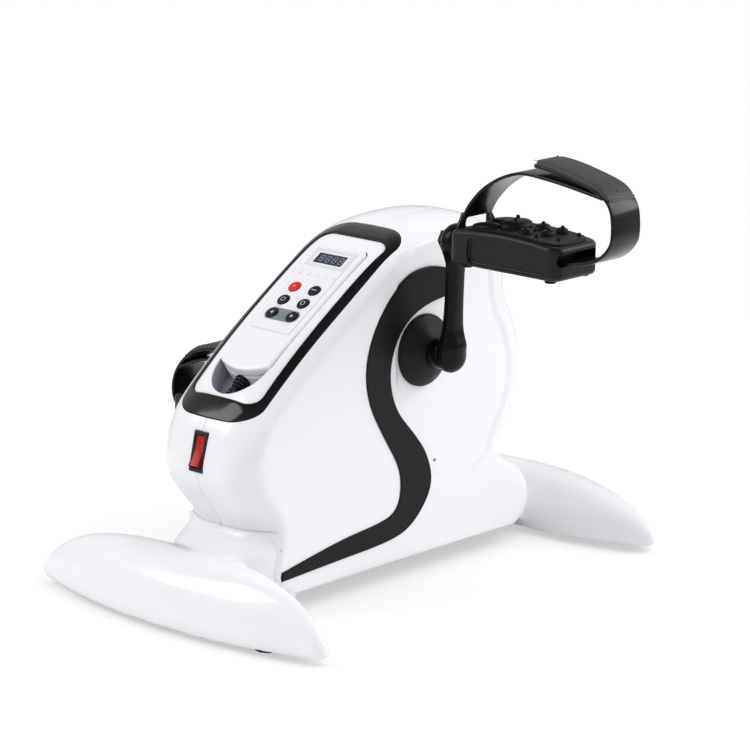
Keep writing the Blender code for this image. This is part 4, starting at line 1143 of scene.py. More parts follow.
# Seven segments of a digit: along and across, as shares of its height and width
SEGMENTS = [(0.93, 1.0, 0.1, 0.9), (0.465, 0.535, 0.1, 0.9), (0.0, 0.07, 0.1, 0.9),
            (0.55, 0.92, 0.0, 0.14), (0.55, 0.92, 0.86, 1.0),
            (0.08, 0.45, 0.0, 0.14), (0.08, 0.45, 0.86, 1.0)]


def make_prints():
    """Printed lines round the display, the digits, five small marks and the key bar."""
    frames = line_frame(53.2, 71.2, 18.8, 0.45) + line_frame(54.6, 69.8, 17.2, 0.35)
    print_bars("display_frame_print", frames, 0.5, "faint")
    digits = []
    for index in range(4):
        start = 10.4 - index * 6.4
        for s_low, s_high, y_low, y_high in SEGMENTS:
            digits.append((59.0 + 6.6 * s_low, 59.0 + 6.6 * s_high,
                           start - 3.9 * y_high, start - 3.9 * y_low))
    print_bars("display_digits", digits, 0.4, "digits")
    marks = []
    for index in range(5):
        across = 15.7 - index * 8.4
        marks += [(45.6, 46.6, across - 0.5, across + 0.5),
                  (43.2, 43.8, across - 1.7, across + 1.7)]
    print_bars("mode_marks", marks, 0.5, "faint")
    print_bars("key_marks", [(7.6, 8.1, -12.5, -7.5), (7.6, 8.1, 7.0, 12.0)], 0.5, "faint")
    print_bars("panel_edge_print", line_frame(-16.6, 73.2, 19.8, 0.22), 0.5, "pale")
    holes = [circle(0.0, sign * BUTTON_SIDE, 5.4) for sign in SIDES.values()]
    film("key_bar_print", rounded_rect(-6.2, 6.2, 16.4, 6.0), 0.5, 0.58, "bar",
         "label_grey", (), 0.02, holes)


def turned_to(bm, axis, spot):
    """Turn a bmesh from +Z to an axis and set it on a spot."""
    turn = axis.to_track_quat("Z", "Y").to_matrix().to_4x4()
    bmesh.ops.transform(bm, verts=bm.verts, matrix=Matrix.Translation(spot) @ turn)
    return bm


def make_buttons(settings):
    """Six keys with rounded edges, their small prints on top."""
    axis = console_point(0.0, 0.0, 1.0) - console_point(0.0, 0.0, 0.0)
    radius = settings.button
    profile = rounded_profile([(0.0, -4.6), (radius, -4.6), (radius, 1.5), (0.0, 1.62)], 0.6, 4)
    for index, row in enumerate(BUTTON_ROWS):
        for side, sign in SIDES.items():
            key = "%d_%s" % (index + 1, side)
            cap = turned_to(turned(profile, (0.0, 0.0, 0.0), "Z", 48), axis,
                            console_point(row, sign * BUTTON_SIDE, 0.0))
            finish, slot = ("red", "red_gloss") if key == "1_left" else ("satin", "black_satin")
            dress(make_object("key_cap_" + key, cap), finish, "key_" + key, slot,
                  ("button_" + key,))
            make_key_print(key, index, sign, row)


def make_key_print(key, index, sign, row):
    """The pale print of one key: a bar, a block with a gap, a ring or a triangle."""
    across = sign * BUTTON_SIDE
    name, body = "key_print_" + key, "key_" + key
    if index == 0:
        bars = [(row - 0.3, row + 0.3, across - 2.6, across + 2.6)]
        if sign > 0:
            bars = [(row - 0.9, row + 0.9, across - 0.9, across - 0.4),
                    (row - 0.9, row + 0.9, across + 0.4, across + 0.9)]
        print_bars(name, bars, 1.5, "faint", body, 0.16)
        return
    if index == 1:
        piece = make_object(name, slab(circle(row, across, 2.1, 24), 1.5, 1.66, 0.02,
                                       console_point, 1, 0.05))
        cut(piece, [console_block("ring_cut", circle(row, across, 1.6, 24), 0.0, 3.0)])
    else:
        tip = 1.9 * sign
        outline = [(row - 1.7, across - tip * 0.6), (row + 1.7, across - tip * 0.6),
                   (row, across + tip * 0.8)][::sign]
        piece = console_block(name, outline, 1.54, 1.66)
    dress(piece, "faint", body, "label_grey")


# Switch, inlet and cord


def make_switch():
    """Bezel with a rounded rim, and the red rocker with its two faces."""
    bezel = slab(rounded_rect(-15.0, 15.0, 6.6, 1.2, corner=6), -1.7, 0.6, 0.5,
                 lambda z, y, x: switch_point(-x - 1.1, y, z), 4, 0.3)
    piece = make_object("switch_bezel", bezel)
    cut(piece, [box_cutter("switch_case", (-0.8, -5.9, -14.0), (18.0, 5.9, 14.0), switch_point)],
        "UNION")
    cut(piece, [box_cutter("switch_room", (-9.0, -4.6, -12.4), (9.0, 4.6, 12.4), switch_point)])
    dress(piece, "socket", "body", "black_satin", ("switch_housing",))
    level = [(3.5, 10.8), (6.5, 0.0), (3.5, -10.8), (-2.2, -11.5), (-1.7, -8.0), (-1.1, -4.0),
             (-0.9, 0.0), (-1.1, 4.0), (-1.7, 8.0), (-2.2, 11.5)]
    turn = math.radians(10.0)
    outline = [(x * math.cos(turn) + z * math.sin(turn), z * math.cos(turn) - x * math.sin(turn))
               for x, z in level]
    rocker = slab(outline, -4.3, 4.3, 0.5, lambda x, z, y: switch_point(x, y, z), 3, 0.2)
    dress(make_object("rocker_cap", rocker), "rocker", "rocker", "red_gloss", ("switch_rocker",))


def make_inlet():
    """Mains inlet with a rounded flange and three pins."""
    flange = slab(rounded_rect(-19.0, 19.0, 12.0, 2.5, corner=6), 1.1, 3.6, 0.6,
                  lambda y, z, x: inlet_point(x, y, z), 3, 0.4)
    piece = make_object("inlet_skin", flange)
    cut(piece, [box_cutter("inlet_case", (-15.0, -14.0, -9.0), (2.0, 14.0, 9.0), inlet_point)],
        "UNION")
    cut(piece, [box_cutter("inlet_room", (-11.0, -10.0, -6.0), (9.0, 10.0, 6.0), inlet_point)])
    dress(piece, "socket", "body", "black_satin", ("mains_inlet",))
    for index, (y, z) in enumerate(((-5.0, -1.5), (5.0, -1.5), (0.0, 2.5))):
        pin = box_cutter("inlet_pin_%d" % index, (-12.0, y - 1.0, z - 1.6),
                         (-1.0, y + 1.0, z + 1.6), inlet_point)
        dress(pin, "steel", "body", "steel")


# The cord's line under the console plane, and where the handset's lower end leaves it
CORD_DEPTH = -13.3
CORD_TOP = HANDSET_END - HANDSET_BOW - 0.3


def tube(path, radius, sides=14):
    """A closed tube along a list of points."""
    loops = []
    normal = Vector((0.0, 1.0, 0.0))
    for i, point in enumerate(path):
        along = (path[min(i + 1, len(path) - 1)] - path[max(i - 1, 0)]).normalized()
        normal = (normal - along * normal.dot(along)).normalized()
        other = along.cross(normal)
        loops.append([point + (normal * math.cos(a) + other * math.sin(a)) * radius
                      for a in angles(sides)])
    return loft(loops)


def make_cord():
    """The visible coils of the handset's curly cord, and its ribbed relief."""
    start, end = CORD_TOP - 7.6, CORD_TOP - 28.3
    turns, radius, gauge = 5.6, 3.0, 1.35
    around = 24
    path = []
    for k in range(int(turns * around) + 1):
        angle = 2 * math.pi * k / around
        share = k / (turns * around)
        grow = min(1.0, share * 6.0)
        path.append(console_point(start + (end - start) * share,
                                  radius * grow * math.sin(angle),
                                  CORD_DEPTH + radius * grow * math.cos(angle)))
    coil = make_object("curly_cord_coils", tube(path, gauge), 60.0)
    coil.data.materials.append(FINISHES["cord"])
    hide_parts("curly_cord")
    console_point(end, 0.0, CORD_DEPTH) * MM + SHIFT
    console_point(start, 0.0, CORD_DEPTH) * MM + SHIFT
    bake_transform(coil)
    rings = [(0.0, CORD_TOP - 8.4), (2.6, CORD_TOP - 8.4)]
    for k in range(3):
        low = CORD_TOP - 8.2 + k * 2.5
        wide = 4.4 + k * 0.7
        rings += [(wide, low), (wide + 0.25, low + 0.8), (wide, low + 1.6),
                  (wide - 1.5, low + 1.75), (wide - 1.5, low + 2.4)]
    rings += [(6.3, CORD_TOP - 0.7), (6.3, CORD_TOP + 0.2), (0.0, CORD_TOP + 0.2)]
    relief = turned(rings, (0.0, 0.0, 0.0), "X", 40)
    for vert in relief.verts:
        vert.co = console_point(vert.co.x, vert.co.y, CORD_DEPTH + vert.co.z)
    piece = make_object("cord_relief_skin", relief, 50.0)
    dress(piece, "cord", "handset", "black_rubber", ("cord_relief",))


# Feet


# Middle of each foot in x and how far its ends sweep back, then its reach towards the console
# side, its reach towards the back and its height, each with the two exponents of its taper
NEAR_FOOT = (-206.3, 8.0, (34.9, 2.01, 0.87), (37.0, 1.5, 1.5), (48.6, 4.2, 0.79))
FAR_FOOT = (181.0, 14.0, (43.9, 2.36, 0.78), (38.0, 1.97, 0.81), (39.5, 2.54, 0.65))
# Each collar's rows of height, growth and corner radius
NEAR_FLARE = [(6.0, 30.0, 47.5), (46.0, 27.0, 47.5), (52.0, 22.0, 47.5), (56.0, 16.0, 46.0),
              (59.0, 10.0, 43.0), (61.0, 5.0, 38.0), (63.0, 1.5, 33.0), (66.0, 0.0, 30.0)]
FAR_FLARE = [(12.0, 20.0, 32.0), (38.0, 16.0, 32.0), (43.0, 9.0, 30.0), (48.0, 4.0, 28.0),
             (52.0, 1.2, 26.0), (56.0, 0.0, 26.0)]
# Where a foot's end starts to round off, as a share of its half length, and how far it rises
TIP_FROM, TIP_LIFT = 0.92, 8.0
FOOT_SQUARENESS = 2.3


def tip_round(size):
    """How much a foot's section shrinks at a share of its length."""
    end = max(size - TIP_FROM, 0.0) / (1.0 - TIP_FROM)
    return math.sqrt(1.0 - end ** 2)


def foot_reach(law, size, tip):
    """A foot's reach or height at a share of its length, which ends in a ball."""
    most, power, exponent = law
    value = most * (1 - size ** power) ** exponent
    return (value ** 4 + tip ** 4) ** 0.25 * tip_round(size)


def squared(angle, power):
    """Cosine and sine of an angle on a squarer circle."""
    cos, sin = math.cos(angle), math.sin(angle)
    return (math.copysign(abs(cos) ** (2 / power), cos),
            math.copysign(abs(sin) ** (2 / power), sin))


def wing(settings, name, shape):
    """The wing-shaped part of a foot cover, with round ends."""
    middle_x, sweep, outer_law, inner_law, height_law = shape
    count = 72
    sections = []
    for k in range(count + 1):
        t = -math.cos(math.pi * k / count)
        size = min(abs(t), 0.9995)
        outer, inner, top = (foot_reach(law, size, settings.tip)
                             for law in (outer_law, inner_law, height_law))
        level = 4.5 + TIP_LIFT * size ** 6
        low = (level - 3.0) * tip_round(size)
        centre = middle_x - sweep * size ** 2
        section = []
        for angle in angles(56):
            across, rise = squared(angle, FOOT_SQUARENESS)
            section.append(Vector((centre - (outer if across > 0 else inner) * across,
                                   t * settings.half_length,
                                   level + (top if rise > 0 else low) * rise)))
        sections.append(section)
    return make_object(name, loft(sections))


def collar(name, end_x, side, half, flare):
    """The raised part of a foot cover round the body, flaring out below in a hollow curve."""
    inner = end_x - side * 98.0
    loops = []
    for z, grow, radius in smooth_path(flare, 5):
        x_from, x_to = sorted((end_x + side * grow, inner))
        loops.append([Vector((x, y, z)) for x, y in
                      rounded_rect(x_from, x_to, half, radius, 0.0, 3.0, 14)])
    return make_object(name, loft(loops))


def thicken(obj, wall, floor):
    """Open a closed form below and give it a wall inwards."""
    bm = bmesh.new()
    bm.from_mesh(obj.data)
    limit = floor * MM + SHIFT.z
    under = [face for face in bm.faces
             if face.normal.z < -0.6 and face.calc_center_median().z < limit]
    bmesh.ops.delete(bm, geom=under, context="FACES")
    bm.to_mesh(obj.data)
    bm.free()
    solid = obj.modifiers.new("wall", "SOLIDIFY")
    solid.thickness = wall * MM
    solid.offset = -1.0
    solid.use_even_offset = False
    return bake(obj, 45.0)


def make_feet():
    """Both foot covers: a wing and a collar grown together, fitted round the body."""
    settings = bpy.context.scene.trainer_feet
    body = bpy.context.scene.trainer_body
    feet = (("near", NEAR_FOOT, -176.0, -1, 47.9, NEAR_FLARE),
            ("far", FAR_FOOT, 140.0, 1, 36.0, FAR_FLARE))
    for end, shape, end_x, side, half, flare in feet:
        cover = fused(end + "_foot_skin", [wing(settings, end + "_wing", shape),
                                           collar(end + "_collar", end_x, side, half, flare)],
                      settings.voxel, 8)
        under = box_cutter("under_cut", (-143.0, -60.0, -10.0), (119.0, 60.0, FLOOR_Z + 4.0))
        cut(cover, [core_form(body, -0.25, 8), under])
        thicken(cover, 2.4, 6.0)
        dress(cover, "white", "body", "white_gloss", (end + "_foot_cover",))


# Cranks and pedals


# Radii of the arm's round ends, at the hub and at the spindle
HUB_ROUND, END_ROUND = 12.7, 13.5


def crank_point(side):
    """Puts (x, out, up the arm) of one side's crank in the body's frame."""
    sign = SIDES[side]
    up = -sign
    lean = -CRANK_LEAN

    def place(x, out, along):
        z = up * along
        return Vector((HUB_X + x * math.cos(lean) + z * math.sin(lean), sign * out,
                       HUB_Z - x * math.sin(lean) + z * math.cos(lean)))
    return place


def crank_section(along):
    """Half width, half thickness, distance out and squareness of the arm at a height."""
    hub, end = HUB_ROUND, END_ROUND
    share = min(max(along / CRANK_LENGTH, 0.0), 1.0)
    waist = 8.6 - 2.2 * share + 5.5 * math.exp(-max(along - 6.0, 0.0) / 9.0) \
        + 5.0 * math.exp(-max(CRANK_LENGTH - 7.0 - along, 0.0) / 7.0)
    wide = 0.0
    if abs(along) < hub:
        wide = math.sqrt(hub * hub - along * along)
    if abs(along - CRANK_LENGTH) < end:
        wide = max(wide, math.sqrt(end * end - (along - CRANK_LENGTH) ** 2))
    if 0.0 < along < CRANK_LENGTH:
        wide = max(wide, min(waist, hub if share < 0.5 else end))
    near_hub = math.exp(-(max(abs(along) - 7.0, 0.0) / 9.0) ** 2)
    near_end = math.exp(-(max(abs(along - CRANK_LENGTH) - 8.0, 0.0) / 7.0) ** 2)
    thick = 5.4 + 4.3 * near_hub + 2.6 * near_end
    if along < 0.0:
        thick *= max(1.0 - (along / hub) ** 2, 0.0025) ** 0.46
    if along > CRANK_LENGTH:
        thick *= max(1.0 - ((along - CRANK_LENGTH) / end) ** 2, 0.0025) ** 0.3
    out = 76.0 + 7.0 * share
    return max(wide, 0.6), thick, out, 3.0 - 0.9 * near_hub


def make_crank(side):
    """One arm: a ball-shaped hub end, a waisted bar and a round end, bored for its spindle."""
    place = crank_point(side)
    quarter = [math.radians(a) for a in range(0, 91, 9)]
    stations = [-HUB_ROUND * math.cos(a) for a in quarter]
    stations += [2.0 + k * 2.0 for k in range(44)]
    stations += [CRANK_LENGTH + END_ROUND * math.sin(a) for a in quarter]
    loops = []
    for along in stations:
        wide, thick, out, square = crank_section(along)
        loop = []
        for angle in angles(40):
            across, rise = squared(angle, square)
            loop.append(place(wide * across, out + thick * rise, along))
        loops.append(loop)
    arm = make_object("crank_skin_" + side, loft(loops), 50.0)
    sign = SIDES[side]
    neck = outward([(0.0, 61.8), (11.6, 61.8), (11.6, 66.0), (10.6, 71.0), (0.0, 73.0)], sign)
    cut(arm, [make_object("neck", turned(neck, place(0.0, 0.0, 0.0), steps=48))], "UNION")
    spindle = place(0.0, 0.0, CRANK_LENGTH)
    cut(arm, [rod("bore", spindle, 5.6, sign * 60.0, sign * 110.0, 32)])
    dress(arm, "crank", "cranks", "crank_black", ("crank_" + side,))
    make_spindle(side, sign, spindle)


def make_spindle(side, sign, spindle):
    """The pedal's spindle with its collar, and the nut on its inner end."""
    profile = rounded_profile([(0.0, 75.5), (5.3, 75.5), (5.3, 91.6), (7.6, 91.6), (7.6, 95.0),
                               (5.3, 95.0), (5.3, 182.0), (0.0, 182.0)], 0.4, 2)
    piece = make_object("spindle_rod_" + side, turned(outward(profile, sign), spindle, steps=40))
    dress(piece, "steel", "cranks", "steel", ("spindle_" + side,))
    hexagon = circle(0.0, 0.0, 8.0, 6)
    nut = slab([blend_points(a, b, t / 4) for a, b in zip(hexagon, hexagon[1:] + hexagon[:1])
                for t in range(4)], 70.5, 74.7, 0.6,
               lambda x, z, out: spindle + Vector((x, sign * out, z)), 3, 0.4)
    dress(make_object("spindle_nut_skin_" + side, nut), "crank", "cranks", "steel",
          ("spindle_nut_" + side,))


# Lower and outer band of each strap: distance out from the crank's plane and height over the
# spindle
RIGHT_STRAP = ([(103.5, 8.3), (103.5, 18.0), (105.0, 25.0), (109.0, 32.5), (116.0, 41.0),
                (123.5, 48.0), (135.0, 55.5), (148.0, 61.0), (160.0, 63.5), (178.0, 62.5),
                (196.0, 60.5), (213.0, 58.0), (231.5, 55.0)],
               [(190.5, 2.8), (200.0, 3.0), (212.0, 4.8), (223.8, 8.0), (233.1, 13.7),
                (239.8, 22.0), (241.3, 30.0), (241.0, 39.0), (239.4, 46.8), (235.6, 53.0),
                (230.0, 57.0), (220.0, 61.0), (205.0, 64.9), (190.0, 68.1), (176.0, 70.0),
                (165.0, 70.0)])
LEFT_STRAP = ([(103.5, 8.3), (103.5, 18.0), (105.5, 25.0), (110.0, 33.0), (118.0, 41.5),
               (129.0, 46.5), (143.0, 49.0), (158.0, 48.5), (172.0, 46.0), (186.0, 41.5),
               (201.5, 34.5)],
              [(190.5, 2.8), (201.0, 2.8), (206.0, 7.5), (207.8, 15.5), (206.8, 24.0),
               (202.5, 33.5), (195.0, 42.5), (184.0, 50.0), (170.0, 54.5), (155.0, 57.0),
               (141.0, 58.0)])
# Middle of the straps and pedals in front of the spindle, and half the length of a front panel
STRAP_X = -3.0
PANEL_HALF = 36.0
# Radius of the round free end of a strap, and the gap between two stitches
TIP_ROUND = 9.0
STITCH_STEP = 3.0


def spindle_point(side):
    """Puts (x, out, up) from a pedal's spindle in the body's frame."""
    sign = SIDES[side]
    spot = crank_point(side)(0.0, 0.0, CRANK_LENGTH)
    return lambda x, out, up: spot + Vector((x, sign * out, up))


def across_pedal(outline):
    """An outline given as (out, x) or (up, x), turned round and moved to the pedal's middle."""
    return [(x + STRAP_X, out) for out, x in outline][::-1]


def pedal_cutters(side, place, arched):
    """Front and rear panel, the strap's two slots and the bore for the spindle."""
    cutters = [make_object("panel_cut", slab(
        rounded_rect(-6.8, 9.8, PANEL_HALF, 5.0, side=40), 0.0, 6.0, 1.2,
        lambda up, out, x, edge=edge: arched(edge[0] + edge[1] * x, 153.0 + out, up), 4, 0.2))
        for edge in ((-29.0 + 2.4, -1.0), (23.0 - 2.4, 1.0))]
    cutters.append(box_cutter("root_cut", (-25.5, 101.5, 7.6), (19.5, 105.5, 20.0), place))
    cutters.append(make_object("exit_cut", slab(
        [(x + STRAP_X, up) for x, up in rounded_rect(-22.5, 22.5, 4.6, 3.6)], 187.0, 210.0, 0.8,
        lambda x, up, out: place(x, out, up + 5.9), 4, 0.3)))
    sign = SIDES[side]
    cutters.append(rod("pedal_bore", place(0.0, 0.0, 0.0), 5.6, sign * 90.0, sign * 183.0, 32))
    return cutters


def make_pedal(side):
    """Pedal body with recessed panels, slots, corner feet and a rubber pad."""
    place = spindle_point(side)
    arched = pedal_arch(place)
    body = slab(across_pedal(rounded_rect(98.0, 200.0, 26.0, 9.0)), -9.5, 15.0, 3.4, arched, 6,
                3.0)
    piece = make_object("pedal_skin_" + side, body)
    cut(piece, pedal_cutters(side, place, arched))
    dress(even_normals(piece), "satin", side + "_pedal", "black_satin", ("pedal_" + side,))
    studs = [(out, x) for x in (-22.0, 16.0) for out in (112.0, 190.0)]
    for index, (out, x) in enumerate(studs):
        stud = slab([(x + a, out + b) for a, b in circle(0.0, 0.0, 4.2, 24)], -11.4, -8.9, 0.5,
                    place, 3, 0.3)
        dress(make_object("pedal_stud_%s_%d" % (side, index), stud), "rubber",
              side + "_pedal", "black_rubber")
    make_pad(side, arched)


def pedal_arch(place):
    """A pedal's placing, with its top arched along its length."""
    def arched(x, out, up):
        share = min(max((up + 2.0) / 12.0, 0.0), 1.0)
        return place(x, out, up + 3.6 * share * max(1.0 - ((out - 149.0) / 49.0) ** 2, 0.0))
    return arched


# Raised parts of the pad: x and distance out of the middle, half sizes, then height
PAD_ISLANDS = [(10.0, 121.0, 10.0, 13.0, 3.4), (-13.0, 122.0, 8.5, 12.0, 3.0),
               (-1.0, 140.5, 14.5, 11.0, 5.6), (8.0, 158.0, 6.5, 5.5, 3.6),
               (-13.0, 159.0, 6.0, 5.5, 3.0), (-3.0, 172.0, 8.5, 4.5, 3.2),
               (11.0, 173.5, 5.0, 4.5, 3.2)]
PAD_NUBS = [(6.0, 136.0, 6.2), (-4.0, 142.0, 5.8), (8.5, 158.0, 4.0), (-13.0, 159.0, 3.2),
            (-3.0, 172.0, 3.4), (11.5, 173.5, 3.4), (-17.0, 172.0, 0.8), (-3.0, 159.5, 0.8),
            (15.0, 186.0, 0.6), (-9.0, 186.0, 0.6)]


def make_pad(side, arched):
    """The rubber pad: a thin base, raised ovals and pebbles on it, and nubs on those."""
    base = slab(across_pedal(rounded_rect(107.0, 196.0, 22.0, 12.0)), 14.6, 16.2, 0.7, arched, 3,
                3.0)
    pad = make_object("pad_base_" + side, base)
    for x, out, half, reach, height in PAD_ISLANDS:
        levels = [(1.0, -0.8), (1.0, 0.0), (0.97, 0.35), (0.88, 0.68), (0.7, 0.9), (0.4, 1.0)]
        loops = [[arched(x + half * share * math.cos(a), out + reach * share * math.sin(a),
                         16.0 + height * rise) for a in angles(36)] for share, rise in levels]
        cut(pad, [make_object("island", loft(loops))], "UNION")
    dress(pad, "rubber", side + "_pedal", "black_rubber", ("pedal_pad_" + side,))
    nubs = points_mesh("pad_nubs_" + side,
                       [arched(x, out, 15.2 + height) for x, out, height in PAD_NUBS])
    tree = repeat_tree("pad_nubs_%s_tree" % side, nub_shape, "rubber")
    run_nodes(nubs, tree, {"Radius": bpy.context.scene.trainer_pedals.nub * MM,
                           "Height": 1.4 * MM})
    dress(nubs, "rubber", side + "_pedal", "black_rubber")


def socket_id(tree, label):
    """The identifier of a named input of a node tree."""
    for item in tree.interface.items_tree:
        if item.item_type == "SOCKET" and item.in_out == "INPUT" and item.name == label:
            return item.identifier
    raise KeyError(label)


def points_mesh(name, points):
    """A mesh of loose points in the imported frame."""
    mesh = bpy.data.meshes.new(name)
    mesh.from_pydata([point * MM + SHIFT for point in points], [], [])
    return placed(name, mesh)


def repeat_tree(name, shape, finish):
    """A node tree that sets one shape on every point. shape builds it and gives its last node."""
    tree = bpy.data.node_groups.new(name, "GeometryNodeTree")
    for label, kind in (("Points", "Geometry"), ("Radius", "Float"), ("Height", "Float"),
                        ("Turn", "Vector")):
        tree.interface.new_socket(label, in_out="INPUT", socket_type="NodeSocket" + kind)
    tree.interface.new_socket("Geometry", in_out="OUTPUT", socket_type="NodeSocketGeometry")
    entry = add_node(tree, "NodeGroupInput")
    leave = add_node(tree, "NodeGroupOutput")
    form = shape(tree, entry)
    spread = add_node(tree, "GeometryNodeInstanceOnPoints")
    real = add_node(tree, "GeometryNodeRealizeInstances")
    coat = add_node(tree, "GeometryNodeSetMaterial", Material=FINISHES[finish])
    wire(tree, entry, "Points", spread)
    wire(tree, form, 0, spread, "Instance")
    wire(tree, entry, "Turn", spread, "Rotation")
    wire(tree, spread, "Instances", real, "Geometry")
    wire(tree, real, "Geometry", coat)
    wire(tree, coat, "Geometry", leave)
    return tree


def nub_shape(tree, entry):
    """A rounded peg: a short cylinder under half a ball."""
    peg = add_node(tree, "GeometryNodeMeshCylinder", Vertices=20)
    ball = add_node(tree, "GeometryNodeMeshUVSphere", Segments=20, Rings=10)
    half = add_node(tree, "ShaderNodeMath")
    half.operation = "MULTIPLY"
    half.inputs[1].default_value = 0.5
    lift = add_node(tree, "ShaderNodeCombineXYZ")
    move = add_node(tree, "GeometryNodeTransform")
    join = add_node(tree, "GeometryNodeJoinGeometry")
    smooth = add_node(tree, "GeometryNodeSetShadeSmooth")
    wire(tree, entry, "Radius", peg)
    wire(tree, entry, "Height", peg, "Depth")
    wire(tree, entry, "Radius", ball)
    wire(tree, entry, "Height", half, 0)
    wire(tree, half, "Value", lift, "Z")
    wire(tree, ball, "Mesh", move, "Geometry")
    wire(tree, lift, "Vector", move, "Translation")
    wire(tree, peg, "Mesh", join, "Geometry")
    wire(tree, move, "Geometry", join)
    wire(tree, join, "Geometry", smooth)
    return smooth


def run_nodes(obj, tree, values):
    """Evaluate a node tree on an object and keep the result as its mesh."""
    mod = obj.modifiers.new("nodes", "NODES")
    mod.node_group = tree
    for label, value in values.items():
        mod[socket_id(tree, label)] = value
    return freeze(obj)


def screw_shape(tree, entry):
    """A pan head screw with a cross in it, facing up the point's axis."""
    head = add_node(tree, "GeometryNodeMeshCylinder", Vertices=32, Side_Segments=1)
    slot = add_node(tree, "GeometryNodeMeshCube", Size=(0.0042, 0.0009, 0.003))
    cross = add_node(tree, "GeometryNodeMeshCube", Size=(0.0009, 0.0042, 0.003))
    both = add_node(tree, "GeometryNodeJoinGeometry")
    lift = add_node(tree, "GeometryNodeTransform", Translation=(0.0, 0.0, 0.0014))
    cutter = add_node(tree, "GeometryNodeMeshBoolean")
    cutter.operation = "DIFFERENCE"
    wire(tree, entry, "Radius", head)
    wire(tree, entry, "Height", head, "Depth")
    wire(tree, slot, "Mesh", both, "Geometry")
    wire(tree, cross, "Mesh", both, "Geometry")
    wire(tree, both, "Geometry", lift)
    wire(tree, head, "Mesh", cutter, "Mesh 1")
    wire(tree, lift, "Geometry", cutter, "Mesh 2")
    return cutter


def make_screws():
    """Screws under the base plate, and a small plug on each side panel."""
    spots = [Vector((x, y, 14.6)) for x in (-135.0, -60.0, 20.0, 98.0) for y in (-38.0, 38.0)]
    base = points_mesh("base_screws", spots)
    tree = repeat_tree("base_screw_tree", screw_shape, "steel")
    run_nodes(base, tree, {"Radius": 3.2 * MM, "Height": 2.0 * MM, "Turn": (math.pi, 0.0, 0.0)})
    dress(base, "steel", "body", "steel")
    profile = rounded_profile([(0.0, 45.0), (1.3, 45.0), (1.3, 47.2), (0.5, 47.2),
                               (0.5, 46.6), (0.0, 46.6)], 0.25, 3)
    for side, sign in SIDES.items():
        plug = turned(outward(profile, sign), (13.0, 0.0, 88.0), steps=24)
        dress(make_object("side_plug_" + side, plug), "marks", "body", "white_gloss")


def band(path, wide, thick, place, edge=0.7, tip=0.0):
    """A flat strap along (out, up) points, as wide as asked along x, its tip round if asked."""
    path = relaxed(smooth_path(path, 8), 4)
    loops = []
    for i, point in enumerate(path):
        before = Vector(path[max(i - 1, 0)])
        after = Vector(path[min(i + 1, len(path) - 1)])
        along = (after - before).normalized()
        normal = Vector((-along.y, along.x))
        half, deep = wide / 2, thick / 2
        left = (Vector(path[-1]) - Vector(point)).length + 0.05
        if left < tip:
            half -= tip - math.sqrt(tip ** 2 - (tip - left) ** 2)
        if tip and left < deep:
            deep = max(math.sqrt(deep ** 2 - (deep - left) ** 2), 0.3)
        bevel = min(edge, deep)
        corners = [(-half + bevel, -deep), (half - bevel, -deep)]
        corners += [(half - bevel + bevel * math.sin(a), -deep + bevel * (1 - math.cos(a)))
                    for a in (math.radians(30 * k) for k in range(1, 4))]
        corners += [(half - bevel + bevel * math.cos(a), deep - bevel + bevel * math.sin(a))
                    for a in (math.radians(30 * k) for k in range(0, 4))]
        corners += [(-x, y) for x, y in corners[::-1]]
        loops.append([place(STRAP_X + a, point[0] + normal.x * b, point[1] + normal.y * b)
                      for a, b in corners])
    bm = loft(loops)
    bmesh.ops.remove_doubles(bm, verts=bm.verts, dist=1e-3)
    return bm


def make_strap(side, paths):
    """The foot strap: lower band with a windowed root, outer band, thick end and rivet."""
    settings = bpy.context.scene.trainer_pedals
    place = spindle_point(side)
    wide, thick = settings.strap_width, settings.strap_thick
    lower = make_object("strap_skin_" + side, band(paths[0], wide, thick, place))
    flank = [(21.5, 8.3), (21.5, 15.0), (20.4, 19.0), (17.6, 23.0), (15.6, 27.0)]
    yoke = [(-21.5 + STRAP_X, 8.3)] + [(x + STRAP_X, up) for x, up in flank]
    yoke += [(STRAP_X - x, up) for x, up in flank[:0:-1]]
    cut(lower, [make_object("yoke", slab(yoke, 102.2, 104.8, 0.5,
                                         lambda x, up, out: place(x, out, up), 2, 0.2))],
        "UNION")
    window = rounded_rect(-16.0, 10.0, 3.9, 2.0, corner=5)
    cut(lower, [make_object("yoke_cut", slab(window, 98.0, 110.0, 0.4,
                                             lambda x, up, out: place(x, out, 19.6 + up), 2,
                                             0.1))])
    cut(lower, [make_object("outer_band", band(paths[1], wide, thick, place, 0.7, TIP_ROUND))],
        "UNION")
    dress(lower, "strap", side + "_pedal", "black_rubber", ("strap_" + side,))
    make_flap(side, paths[1], place, wide)


def beside(here, after, distance):
    """The step of that length from a path to its outer side."""
    along = (after - here).normalized()
    return Vector((along.y, -along.x)) * distance


def make_flap(side, path, place, wide):
    """The doubled free end of the outer band, with a rivet, a seam across and stitches."""
    points = [Vector(point) for point in relaxed(smooth_path(path, 8), 4)]
    start = next(k for k, point in enumerate(points) if point.y > path[-1][1] * 0.76)
    tail = []
    for k in range(start, len(points)):
        rise = min((k - start) / 10.0, 1.0) * 2.0
        after = points[min(k + 1, len(points) - 1)]
        tail.append(points[k] + beside(points[k - 1], after, rise))
    flap = band([tuple(spot) for spot in tail[::3]], wide - 0.6, 4.2, place, 2.0, TIP_ROUND)
    dress(make_object("strap_flap_" + side, flap), "weave", side + "_pedal", "black_rubber")
    seam = points[start]
    bar = make_object("strap_seam_" + side, band(
        [(seam.x + 0.9, seam.y - 0.9), (seam.x + 0.5, seam.y + 0.1), (seam.x + 0.1, seam.y + 1.1)],
        wide - 2.0, 3.2, place, 0.5))
    dress(bar, "strap", side + "_pedal", "black_rubber")
    make_rivet(side, place, *tail[(len(points) - start) // 7:][:2])
    make_stitches(side, flap_stitches(side, place, wide, tail, seam))


